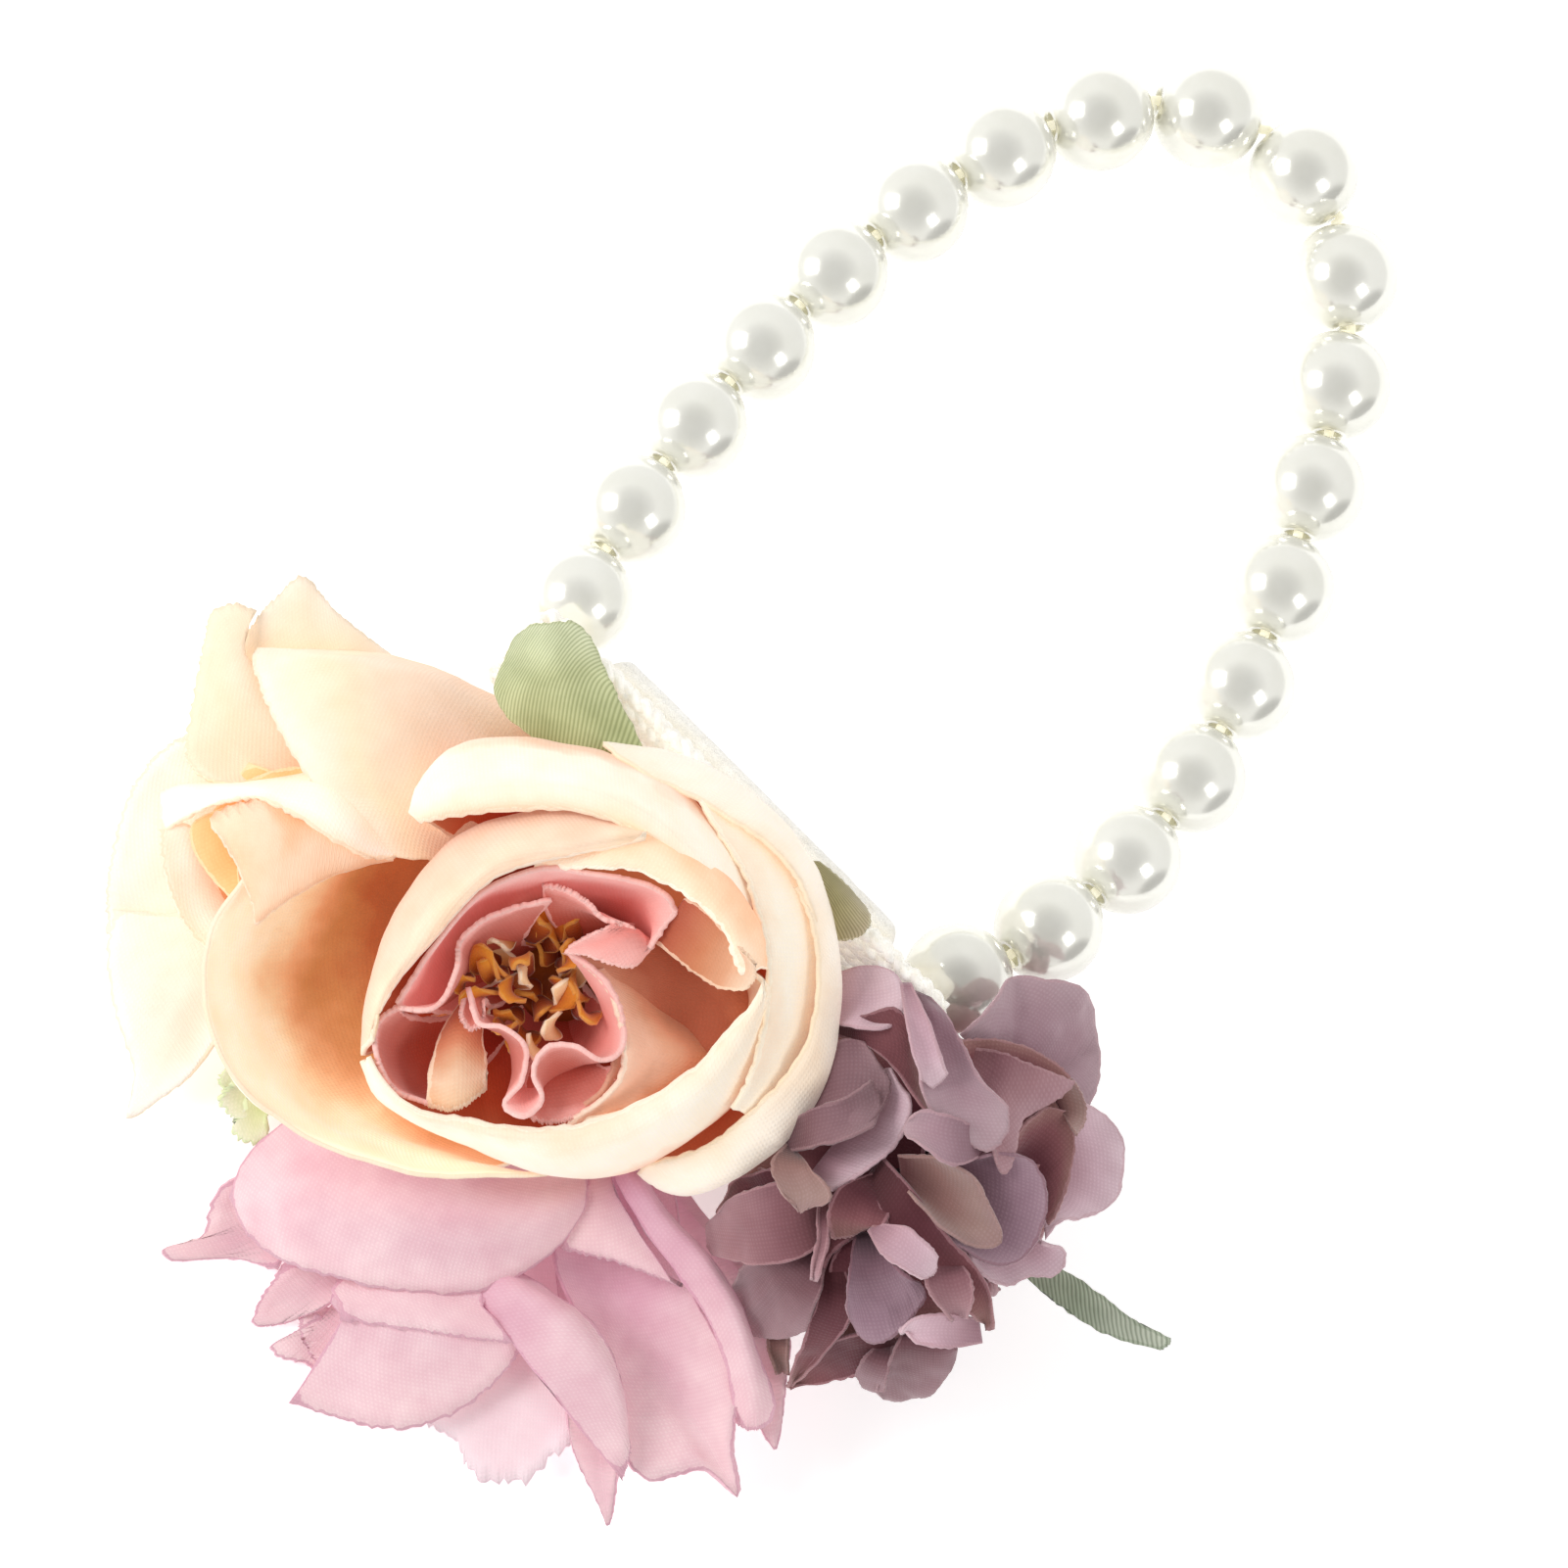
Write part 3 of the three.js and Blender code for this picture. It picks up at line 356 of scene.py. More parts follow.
# Orange slivers of painted shade in the side rose
heart_shade_cloth = cloth_material(
    "heart_shade_cloth", [(0.5, "e09050"), (0.85, "f6b074"), (1, "f8c48e")],
    "fcd8b0", thin_edge, "f4c89c", painted_glow=0.35)
sprig_cloth = cloth_material(
    "sprig_cloth", [(0.1, "9cac60"), (0.6, "ccd092"), (0.8, "dcd8b0"), (1, "ece8d4")],
    "dce8b4", thin_edge, "b4c888")
cream_lobe = cloth_material(
    "cream_lobe", [(0.05, "a05020"), (0.45, "d89858"), (0.85, "f6d8ae")],
    "fff0d8", lobe_edge, "f0c890", weave_share=0.0)
amber_lobe = cloth_material(
    "amber_lobe", [(0.05, "6a200a"), (0.5, "b25412"), (0.9, "dc8c2c")],
    "e0a050", lobe_edge, "d08a40", weave_share=0.0)
leaf_cloth = cloth_material(
    "leaf_cloth", [(0.0, "b0b484"), (0.4, "c4c896"), (0.7, "d8dcae"), (1, "e8ecca")],
    "c6cc9c", thin_edge, "8c9668", twill=True, weave_share=0.45)
shaded_leaf = cloth_material(
    "shaded_leaf", [(0.0, "a8a07c"), (0.6, "b8ae81"), (0.9, "c4b898"), (1, "d4c8ac")],
    "d8d0b0", thin_edge, "8c8660", twill=True, weave_share=0.45)
blade_cloth = cloth_material(
    "blade_cloth", [(0.0, "98a58c"), (0.3, "aeb9a2"), (0.5, "b0bca4"), (0.7, "c4ccb8"), (1, "d4dac8")],
    "a0ac94", rim_edge, "66725c", twill=True, weave_share=0.45)
# Hydrangea cloths, darker towards the foot: partly the dye, partly painted shade. Wine and dusk, the
# darkest, are painted shade on undersides and on petals that lie under others or under the rose
hydrangea_cloths = {}
for name, stops, edge, mottle in [
    ("mauve", [(0.05, "6c4245"), (0.35, "845a61"), (0.7, "a47e83"), (1, "b29197")], "b48c90", "d4bcc0"),
    ("wine", [(0.05, "50282c"), (0.4, "5e3038"), (0.75, "825155"), (1, "97716b")], "b0848a", "d4bcc0"),
    ("slate", [(0.05, "463038"), (0.4, "765862"), (0.8, "9a7c88"), (1, "a88c96")], "8c6068", "ccbcc8"),
    ("blush", [(0.05, "75515a"), (0.35, "92727c"), (0.7, "ab8f98"), (1, "b7a0a6")], "c09aa0", "dcc8cc"),
    ("beige", [(0.05, "532f31"), (0.45, "8e6b67"), (0.8, "a28682"), (1, "a08383")], "b08c88", "dccec0"),
    ("pale", [(0.05, "98727c"), (0.35, "b6929c"), (0.7, "d0b2bc"), (1, "dcc5cc")], "c09aa0", "e0d0d4"),
    ("dusk", [(0.05, "56363c"), (0.35, "734f55"), (0.7, "8f7076"), (1, "9d8186")], "a07e82", "d4bcc0"),
]:
    hydrangea_cloths[name] = cloth_material(
        f"{name}_cloth", stops, edge, thin_edge, mottle, edge_share=0.45, weave_share=0.3,
        crease=floret_crease)


# Other materials: sizes of their patches and depths of their relief
pearl_patch = 3 * MM
pearl_relief = 0.004 * MM
elastic_patch = 1 * MM
elastic_relief = 0.01 * MM
felt_patch = 0.8 * MM
felt_relief = 0.2 * MM
lace_patch = 0.6 * MM
lace_relief = 0.08 * MM
glue_patch = 3 * MM
glue_relief = 0.1 * MM
stem_patch = 1.2 * MM
heart_patch = 1.6 * MM
knob_patch = 1.5 * MM
plant_relief = 0.05 * MM
patch_detail = 4
patch_range = (0.35, 0.7)
grains_per_patch = 6


def plain_material(name, light, dark, size, depth, roughness, painted_glow=0.0, **settings):
    """Material with patches between two colours and a fine relief, and a glow of painted light where one is
    given
    """
    nodes = Paint(name, roughness, **settings)
    colour = nodes.fade(nodes.noise(size, patch_detail), patch_range, light, dark)
    return nodes.finish(colour, nodes.noise(size / grains_per_patch, coarse_detail), depth, painted_glow)


# The glow of the cord, felt, lace and heart is painted light that lifts their shade
pearl_coat = plain_material("pearl_coat", "f8f7ee", "f2f1e6", pearl_patch, pearl_relief, roughness=0.17,
                            Metallic=0.45, Coat_Weight=1.0, Coat_Roughness=0.05, Specular_IOR_Level=0.8)
elastic = plain_material("elastic", "f6f3e2", "ece6c8", elastic_patch, elastic_relief, roughness=0.3,
                         painted_glow=0.5)
felt_cloth = plain_material("felt_cloth", "f6f4ee", "eeeae0", felt_patch, felt_relief, roughness=0.95,
                            painted_glow=0.3, Sheen_Weight=0.5)
lace_thread = plain_material("lace_thread", "f8f6f0", "ebe6da", lace_patch, lace_relief, roughness=0.9,
                             painted_glow=0.3, Sheen_Weight=0.3)
glue_gel = plain_material("glue_gel", "f2ead2", "dfd2ae", glue_patch, glue_relief, roughness=0.3,
                          Transmission_Weight=0.2)
stem_plastic = plain_material("stem_plastic", "86a06c", "5f7a4c", stem_patch, plant_relief, roughness=0.55)
heart_amber = plain_material("heart_amber", "8e4a16", "5a1c10", heart_patch, plant_relief, roughness=0.6,
                             painted_glow=0.1)
# Near black knob and stalks: painted shade in the gap between the florets
knob_painted_shade = plain_material("knob_painted_shade", "3a2226", "2a181c", knob_patch, plant_relief, roughness=0.8)

# Surfaces
curve_steps = 12
shortest_span = 1e-12
soft_wrinkle = 0.25 * MM
petal_fray = 0.16 * MM
fray_shares = (-1, 0.6)
frayed_from_share = 0.3
fold_size = 5 * MM
ripple_size = 2 * MM
ripple_share = 0.4

# Petals: their grids, the share of the way from hub to first curve where one starts, and other frays
petal_columns = 56
petal_rows = 26
wide_columns = 90
petal_foot_share = 0.12
fold_foot_share = 0.25
roll_foot_share = 0.9
turned_foot_share = 0.96
smooth_fray = 0.03 * MM
rough_fray = 0.2 * MM
torn_fray = 0.4 * MM


def along_curve(points, count):
    """Evenly spaced points on a smooth curve through the given ones"""
    ends = [points[0] * 2 - points[1], *points, points[-1] * 2 - points[-2]]
    fine = [points[0]]
    for a, b, c, d in zip(ends, ends[1:], ends[2:], ends[3:]):
        for k in range(1, curve_steps + 1):
            t = k / curve_steps
            linear = (c - a) * t
            square = (2 * a - 5 * b + 4 * c - d) * t * t
            cube = (3 * b - a - 3 * c + d) * t**3
            fine.append(b + (linear + square + cube) / 2)
    reached = [0.0]
    for a, b in zip(fine, fine[1:]):
        reached.append(reached[-1] + (b - a).length)
    placed = []
    k = 0
    for i in range(count):
        goal = reached[-1] * i / (count - 1)
        while k < len(fine) - 2 and reached[k + 1] < goal:
            k += 1
        span = max(reached[k + 1] - reached[k], shortest_span)
        placed.append(fine[k].lerp(fine[k + 1], (goal - reached[k]) / span))
    return placed


def loft(curves, columns, rows):
    """Grid of points over curves that run side by side, first curve first"""
    lines = [along_curve(curve, columns + 1) for curve in curves]
    return [along_curve([line[i] for line in lines], rows + 1) for i in range(columns + 1)]


def add_piece(name, points, faces, body, replaced, material):
    mesh = bpy.data.meshes.new(name)
    mesh.from_pydata([tuple(p) for p in points], [], faces)
    mesh.shade_smooth()
    piece = bpy.data.objects.new(name, mesh)
    scene.collection.objects.link(piece)
    mesh.materials.append(material)
    if body:
        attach(piece, body)
    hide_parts(replaced)
    return piece


class Sheets:
    """Thin sheets of fabric that make one object"""

    def __init__(self):
        self.points = []
        self.faces = []
        self.along = []
        self.border = []
        self.threads = []

    def add(self, grid, wrinkle=soft_wrinkle, fray=petal_fray, seed=0):
        columns, rows = len(grid) - 1, len(grid[0]) - 1
        start = len(self.points)
        shake = random.Random(seed)
        widths = [[0.0] for _ in range(rows + 1)]
        for j in range(rows + 1):
            for i in range(columns):
                widths[j].append(widths[j][-1] + (grid[i + 1][j] - grid[i][j]).length)
        lengths = [[0.0] for _ in range(columns + 1)]
        for i in range(columns + 1):
            for j in range(rows):
                lengths[i].append(lengths[i][-1] + (grid[i][j + 1] - grid[i][j]).length)
        for i in range(columns + 1):
            for j in range(rows + 1):
                point = grid[i][j].copy()
                across_way = grid[min(i + 1, columns)][j] - grid[max(i - 1, 0)][j]
                along_way = grid[i][min(j + 1, rows)] - grid[i][max(j - 1, 0)]
                normal = across_way.cross(along_way).normalized()
                share = j / rows
                bend = noise.noise(point / fold_size + Vector((seed, 0, 0)))
                bend += ripple_share * noise.noise(point / ripple_size + Vector((0, seed, 0)))
                point += normal * bend * wrinkle * share
                if j == rows:
                    point += along_way.normalized() * shake.uniform(*fray_shares) * fray
                elif i in (0, columns) and share > frayed_from_share:
                    outwards = across_way.normalized() * (1 if i else -1)
                    point += outwards * shake.uniform(*fray_shares) * fray
                point.z = max(point.z, fabric - table_drop)
                self.points.append(point)
                self.along.append(share)
                side = min(widths[j][i], widths[j][-1] - widths[j][i])
                self.border.append(min(lengths[i][-1] - lengths[i][j], side))
                middle = widths[j][i] - widths[j][-1] / 2
                self.threads.append(Vector((middle, lengths[i][j], 0)))
        for i in range(columns):
            for j in range(rows):
                a = start + i * (rows + 1) + j
                self.faces.append((a, a + rows + 1, a + rows + 2, a + 1))

    def build(self, name, replaced, slot, outside, inside, thickness=fabric):
        piece = add_piece(name, self.points, self.faces, FLOWERS, replaced, outside)
        mesh = piece.data
        mesh.materials.append(inside)
        for key, values in (("along", self.along), ("border", self.border)):
            mesh.attributes.new(key, "FLOAT", "POINT").data.foreach_set("value", values)
        flat = [number for thread in self.threads for number in thread]
        mesh.attributes.new("threads", "FLOAT_VECTOR", "POINT").data.foreach_set("vector", flat)
        solid = piece.modifiers.new("thickness", "SOLIDIFY")
        solid.thickness = thickness
        solid.offset = 0
        solid.material_offset = 1
        solid.material_offset_rim = 0


def runs_clockwise(hub, curve):
    first, last = curve[0], curve[-1]
    return (first[0] - hub[0]) * (last[1] - hub[1]) > (first[1] - hub[1]) * (last[0] - hub[0])


def add_petals(name, replaced, slot, hub, table, outside, inside, thickness=fabric, columns=petal_columns,
               rows=petal_rows, foot_share=petal_foot_share, **looks):
    """Petals from a hub, each through its curves: pixels across, down and towards the camera. Curves that
    run clockwise round the hub are turned about, so that all outsides face away from it"""
    sheets = Sheets()
    base = at_pixel(*hub)
    for number, curves in enumerate(table):
        if runs_clockwise(hub, curves[-1]):
            curves = [curve[::-1] for curve in curves]
        lines = [[at_pixel(*spot) for spot in curve] for curve in curves]
        foot = [base.lerp(point, foot_share) for point in lines[0]]
        sheets.add(loft([foot, *lines], columns, rows), seed=number + hub[0], **looks)
    sheets.build(name, replaced, slot, outside, inside, thickness)


def add_rose(rose, hub, pieces):
    for name, layer, slot, outside, inside, table, apart in pieces:
        add_petals(f"{rose}_{name}", f"{rose}_{layer}_petals", slot, hub, table, outside, inside, **apart)


# Main rose: globe of petals whose rims curl in, round a ruffle and stamens
main_hub = (412, 661, 36)

# The big petal on the left, open like a bowl. Its cloth runs from deep orange at the foot to pale yellow at
# the rim: partly the dye, partly painted shade where the bowl meets the rose
bowl_petal = [
    [(300, 600, 50), (285, 650, 40), (283, 690, 38), (290, 730, 38), (320, 765, 42), (375, 785, 52)],
    [(258, 612, 70), (232, 655, 58), (226, 695, 54), (238, 735, 54), (268, 768, 60), (340, 792, 68)],
    [(222, 612, 96), (198, 648, 98), (190, 685, 98), (196, 718, 98), (222, 758, 94), (300, 792, 84),
     (380, 798, 72)],
    [(210, 620, 108), (191, 648, 112), (184, 682, 114), (188, 710, 114), (204, 740, 112),
     (232, 768, 106), (270, 787, 98), (320, 799, 90), (388, 798, 78)],
]

outer_lower_right = [
    [(500, 600, 50), (525, 650, 50), (525, 700, 50), (500, 750, 48), (450, 780, 46)],
    [(549, 622, 96), (558, 655, 100), (563, 690, 102), (561, 715, 102), (556, 740, 100), (546, 760, 98),
     (532, 777, 96), (515, 790, 92), (495, 802, 86), (474, 809, 80), (456, 806, 74), (443, 797, 70)],
    [(537, 627, 122), (547, 652, 126), (550, 680, 128), (546, 708, 126), (538, 728, 124),
     (526, 744, 120), (510, 760, 114), (492, 775, 106), (470, 786, 96), (448, 790, 86)],
]
outer_top_right = [
    [(440, 580, 55), (490, 600, 55), (520, 650, 55)],
    [(420, 541, 92), (452, 546, 92), (480, 554, 92), (502, 566, 92), (521, 581, 92), (536, 598, 92),
     (548, 618, 92), (556, 642, 92), (561, 668, 90)],
    [(431, 549, 128), (451, 561, 132), (478, 574, 134), (504, 590, 134), (522, 603, 132),
     (533, 615, 130), (542, 632, 126), (549, 655, 122)],
]

top_crescent = [
    [(350, 610, 60), (400, 590, 60), (450, 595, 62), (485, 625, 65)],
    [(309, 584, 124), (313, 570, 124), (323, 555, 120), (336, 545, 116), (352, 540, 114),
     (378, 539, 112), (398, 543, 112), (420, 546, 112), (446, 558, 114), (470, 571, 116),
     (489, 592, 118), (502, 614, 122), (508, 634, 126), (506, 650, 130)],
    [(312, 586, 138), (322, 575, 150), (345, 566, 160), (380, 562, 168), (415, 567, 172),
     (445, 580, 174), (470, 600, 174), (488, 622, 170), (500, 641, 160), (505, 652, 150)],
    [(314, 588, 138), (330, 585, 150), (360, 582, 160), (400, 581, 168), (430, 588, 172),
     (455, 602, 172), (476, 618, 168), (492, 636, 162), (501, 648, 152), (504, 654, 142)],
]
bottom_band = [
    [(320, 720, 60), (370, 745, 55), (430, 740, 55), (490, 705, 58)],
    [(281, 730, 98), (290, 750, 94), (310, 765, 88), (330, 774, 84), (346, 780, 84), (369, 790, 82),
     (387, 796, 82), (411, 798, 82), (432, 795, 84), (455, 786, 86), (481, 769, 90), (498, 755, 92),
     (508, 742, 96), (515, 722, 100), (519, 700, 104), (520, 682, 106)],
    [(282, 729, 132), (292, 746, 134), (312, 762, 134), (334, 768, 132), (360, 777, 132),
     (386, 782, 132), (412, 783, 132), (436, 777, 134), (460, 765, 136), (482, 748, 140),
     (500, 727, 144), (512, 708, 146), (519, 690, 148)],
    [(283, 727, 140), (291, 741, 142), (304, 755, 142), (318, 761, 140), (334, 763, 138),
     (361, 768, 136), (385, 769, 136), (406, 767, 136), (430, 760, 138), (455, 748, 140),
     (480, 730, 144), (500, 708, 148), (513, 692, 150), (518, 682, 150)],
]
right_band = [
    [(470, 610, 60), (510, 655, 60), (505, 720, 60)],
    [(500, 575, 100), (528, 602, 104), (543, 632, 106), (550, 660, 106), (549, 690, 104),
     (541, 722, 100), (527, 745, 96), (512, 760, 92)],
    [(479, 575, 134), (494, 600, 140), (507, 622, 144), (514, 645, 146), (519, 670, 146),
     (519, 698, 142), (514, 724, 136), (507, 744, 128), (498, 758, 120)],
]

# The tallest petal on the left, one behind it and a lobe at the bottom
tall_left = [
    [(330, 700, 70), (330, 660, 70), (360, 620, 72), (400, 610, 74)],
    [(282, 727, 108), (283, 700, 112), (287, 678, 116), (294, 655, 120), (304, 634, 124),
     (320, 612, 128), (340, 594, 132), (366, 585, 136), (400, 581, 140), (430, 588, 142), (448, 595, 144)],
    [(284, 718, 146), (291, 692, 162), (307, 666, 176), (326, 642, 184), (346, 621, 188),
     (366, 608, 190), (392, 600, 190), (420, 597, 188), (447, 596, 184)],
    [(284, 713, 148), (296, 688, 162), (317, 661, 172), (335, 641, 180), (351, 626, 184),
     (364, 617, 186), (384, 611, 186), (403, 608, 184), (424, 602, 182), (447, 597, 180)],
]
behind_ruffle = [
    [(440, 680, 50), (450, 700, 48), (440, 730, 48), (420, 745, 50)],
    [(480, 660, 96), (500, 690, 94), (492, 720, 94), (462, 748, 94), (420, 760, 94)],
    [(500, 670, 146), (520, 686, 148), (514, 706, 146), (498, 728, 142), (476, 745, 138),
     (448, 757, 134), (404, 767, 128)],
]
bottom_lobe = [
    [(345, 690, 90), (362, 692, 90)],
    [(326, 714, 118), (340, 700, 124), (350, 712, 120)],
    [(319, 738, 126), (336, 728, 134), (353, 732, 126)],
    [(316, 757, 122), (334, 760, 128), (352, 748, 122)],
]

# The inner petal on the right, which curls back round the ruffle: the part in the shade, and the lit one
shaded_part = [
    [(470, 650, 60), (520, 690, 60), (500, 740, 60), (430, 775, 60)],
    [(466, 652, 108), (494, 672, 114), (507, 695, 118), (500, 717, 118), (474, 740, 118),
     (444, 758, 118), (404, 772, 118)],
    [(440, 661, 130), (458, 678, 118), (468, 698, 114), (460, 724, 114), (436, 742, 118), (404, 766, 124)],
    [(397, 666, 142), (412, 672, 140), (422, 686, 136), (428, 708, 136), (428, 732, 134),
     (420, 750, 132), (400, 764, 124)],
]

lit_part = [
    [(440, 660, 60), (500, 710, 60), (480, 740, 60), (420, 775, 60)],
    [(424, 672, 128), (444, 690, 122), (462, 708, 118), (478, 722, 120), (484, 730, 120),
     (466, 744, 120), (440, 759, 120), (404, 771, 120)],
    [(418, 676, 140), (434, 692, 134), (446, 710, 130), (452, 728, 128), (438, 746, 128), (404, 767, 127)],
    [(411, 673, 148), (424, 685, 146), (431, 703, 146), (434, 722, 145), (432, 738, 143),
     (424, 750, 139), (412, 759, 133), (400, 767, 128)],
]

# The inner petal at the top right, whose rim curls over. Its cloth is darker orange away from the rim:
# painted shade where the crescent and the tall petal overlap it
curled_rim = [
    [(410, 620, 74), (445, 625, 74), (480, 655, 72)],
    [(380, 601, 150), (412, 596, 150), (442, 588, 150), (466, 598, 148), (488, 616, 144),
     (504, 634, 140), (514, 652, 134), (519, 674, 126)],
    [(382, 608, 172), (412, 604, 176), (441, 598, 178), (464, 607, 178), (484, 621, 176),
     (500, 640, 172), (509, 656, 164), (515, 675, 150)],
    [(381, 616, 174), (400, 616, 176), (420, 616, 179), (438, 617, 180), (450, 621, 180),
     (461, 626, 180), (471, 632, 179), (481, 639, 177), (489, 647, 174), (495, 657, 169),
     (499, 667, 163), (503, 678, 154)],
]

# The lobe that this petal turns back below its rim, dark red-brown at its foot and cream at its rim: painted
# shade under the curled rim
turned_lobe = [
    [(474, 633, 170), (464, 648, 154), (456, 661, 146)],
    [(484, 640, 174), (476, 655, 158), (466, 669, 146)],
    [(492, 648, 173), (486, 664, 158), (477, 678, 146)],
    [(499, 656, 168), (497, 672, 156), (489, 686, 146)],
    [(506, 664, 164), (507, 676, 156), (500, 688, 148)],
    [(513, 673, 158), (513, 681, 153), (508, 687, 149)],
]

# The ruffle: behind, along the left petal and over the top
ruffle_over_top = [
    [(350, 700, 84), (345, 670, 84), (372, 650, 84), (410, 640, 86), (448, 660, 88)],
    [(310, 700, 130), (325, 660, 136), (355, 632, 142), (400, 625, 146), (440, 630, 146), (452, 655, 138)],
    [(299, 696, 150), (314, 672, 160), (330, 650, 168), (348, 631, 174), (366, 620, 178),
     (386, 615, 178), (410, 617, 176), (436, 620, 174), (456, 628, 170), (466, 640, 162),
     (458, 652, 156), (448, 662, 152)],
]
ruffle_top_wave = [
    [(400, 660, 96), (425, 650, 98), (440, 650, 98)],
    [(388, 640, 140), (415, 640, 146), (436, 652, 146)],
    [(386, 624, 158), (400, 627, 164), (414, 634, 164), (424, 645, 160), (438, 650, 156), (448, 660, 150)],
]

# Its flap at the top right
ruffle_flap = [
    [(430, 650, 110), (450, 660, 108)],
    [(426, 650, 152), (440, 654, 158), (450, 664, 148)],
    [(434, 648, 158), (416, 653, 160), (399, 665, 152), (414, 668, 156), (428, 673, 154),
     (440, 674, 150), (448, 664, 142)],
]

# Front of its left band
ruffle_left_band = [
    [(378, 660, 84), (356, 672, 82), (345, 692, 80)],
    [(376, 654, 124), (350, 662, 120), (338, 682, 116), (322, 700, 112)],
    [(392, 634, 158), (378, 637, 162), (362, 641, 160), (346, 648, 164), (336, 660, 158),
     (334, 676, 164), (327, 692, 156), (318, 700, 160), (299, 699, 152)],
]
ruffle_lower_left = [
    [(345, 700, 70), (340, 715, 66), (350, 735, 64)],
    [(310, 704, 112), (300, 722, 104), (310, 745, 100), (328, 757, 98)],
    [(300, 697, 146), (288, 708, 142), (287, 728, 138), (298, 748, 132), (318, 757, 124)],
]
ruffle_loops = [
    [(368, 700, 74), (380, 712, 70), (400, 712, 70), (412, 700, 72), (410, 684, 74)],
    [(350, 702, 116), (366, 716, 118), (374, 742, 112), (396, 738, 112), (420, 722, 114), (424, 694, 116)],
    [(341, 686, 144), (346, 708, 152), (362, 711, 158), (376, 722, 156), (374, 742, 148),
     (362, 756, 142), (375, 765, 146), (386, 753, 144), (380, 737, 150), (388, 723, 156),
     (404, 721, 158), (421, 729, 154), (433, 722, 148), (433, 702, 146), (426, 686, 148),
     (412, 673, 150), (399, 664, 146)],
]

# Its face below the loops, and a small lobe at the left
ruffle_face = [
    [(390, 700, 66), (410, 712, 64)],
    [(376, 738, 112), (398, 736, 116), (420, 732, 116)],
    [(376, 764, 126), (390, 768, 128), (406, 765, 128), (424, 752, 128), (431, 733, 130)],
]
ruffle_small_lobe = [
    [(352, 690, 96), (362, 696, 96)],
    [(342, 688, 130), (352, 694, 134)],
    [(338, 694, 142), (337, 704, 144), (342, 712, 142), (350, 709, 142), (352, 698, 140)],
]

# Pieces of the main rose: name, petal layer, slot, cloths outside and inside, petals, what sets it apart
add_rose("main_rose", main_hub, [
    ("bowl", "outer", "pale_peach_fabric", pale_outside, bowl_cloth, [bowl_petal], {}),
    ("outer", "outer", "pale_peach_fabric", pale_outside, peach_inside,
     [outer_lower_right, outer_top_right], {}),
    ("middle", "middle", "peach_fabric", peach_outside, peach_inside,
     [top_crescent, bottom_band, right_band], {}),
    ("inner", "inner", "peach_fabric", tall_cloth, peach_inside,
     [tall_left, behind_ruffle, bottom_lobe], {}),
    ("shade", "inner", "peach_fabric", shade_cloth, shade_cloth, [shaded_part], {}),
    ("lit", "inner", "peach_fabric", lit_cloth, lit_cloth, [lit_part], {}),
    ("curl", "inner", "peach_fabric", curl_cloth, curl_cloth, [curled_rim], {}),
    ("lobe", "inner", "peach_fabric", lobe_cloth, lobe_cloth, [turned_lobe],
     {"foot_share": turned_foot_share}),
    ("ruffle", "ruffled", "rose_pink_fabric", rose_outside, rose_inside,
     [ruffle_over_top, ruffle_top_wave, ruffle_flap, ruffle_left_band, ruffle_lower_left, ruffle_loops,
      ruffle_face, ruffle_small_lobe], {"columns": wide_columns}),
])


# Side rose, which opens to the end of the strip
side_hub = (354, 601, 5)

# Broad petal on top, and the pointed one behind it
broad_top = [
    [(380, 535, 36), (364, 548, 62), (352, 580, 74), (350, 610, 64)],
    [(345, 507, 32), (325, 515, 76), (312, 560, 100), (324, 610, 84)],
    [(300, 490, 28), (280, 500, 80), (272, 545, 106), (306, 610, 92)],
    [(260, 486, 26), (240, 495, 72), (246, 540, 104), (294, 607, 93)],
    [(230, 486, 34), (212, 488, 56), (226, 528, 92), (254, 572, 98), (296, 610, 92)],
]
pointed_top = [
    [(330, 540, 6), (290, 540, 16), (250, 550, 20)],
    [(305, 500, 14), (262, 496, 26), (206, 512, 32)],
    [(292, 487, 14), (276, 474, 18), (262, 462, 20), (250, 448, 20), (240, 440, 22), (229, 450, 22),
     (217, 462, 24), (206, 478, 26)],
]

far_left = [
    [(290, 600, 10), (260, 580, 14), (240, 560, 18)],
    [(200, 640, 12), (180, 600, 20), (190, 550, 24)],
    [(124, 655, 8), (124, 625, 12), (130, 592, 18), (140, 566, 22), (156, 545, 26), (174, 534, 28)],
]
drooping_tip = [
    [(280, 640, 0), (260, 620, 4), (240, 600, 8)],
    [(215, 690, 14), (190, 670, 16), (175, 640, 18)],
    [(196, 706, 20), (176, 738, 12), (152, 757, 8), (136, 766, 6), (140, 738, 8), (130, 706, 10),
     (124, 670, 12), (128, 640, 14)],
]

left_of_top = [
    [(310, 560, 20), (280, 545, 30), (255, 530, 36)],
    [(250, 565, 50), (225, 530, 56), (208, 490, 44)],
    [(206, 566, 66), (184, 562, 58), (172, 548, 44), (175, 522, 36), (180, 492, 32), (187, 463, 28),
     (200, 457, 28), (214, 462, 30)],
]
low_on_table = [
    [(330, 640, -20), (300, 640, -24), (270, 620, -20)],
    [(270, 720, -8), (220, 700, -14), (190, 640, -14)],
    [(240, 752, -10), (210, 740, -14), (180, 700, -20), (160, 650, -20), (152, 610, -14)],
]

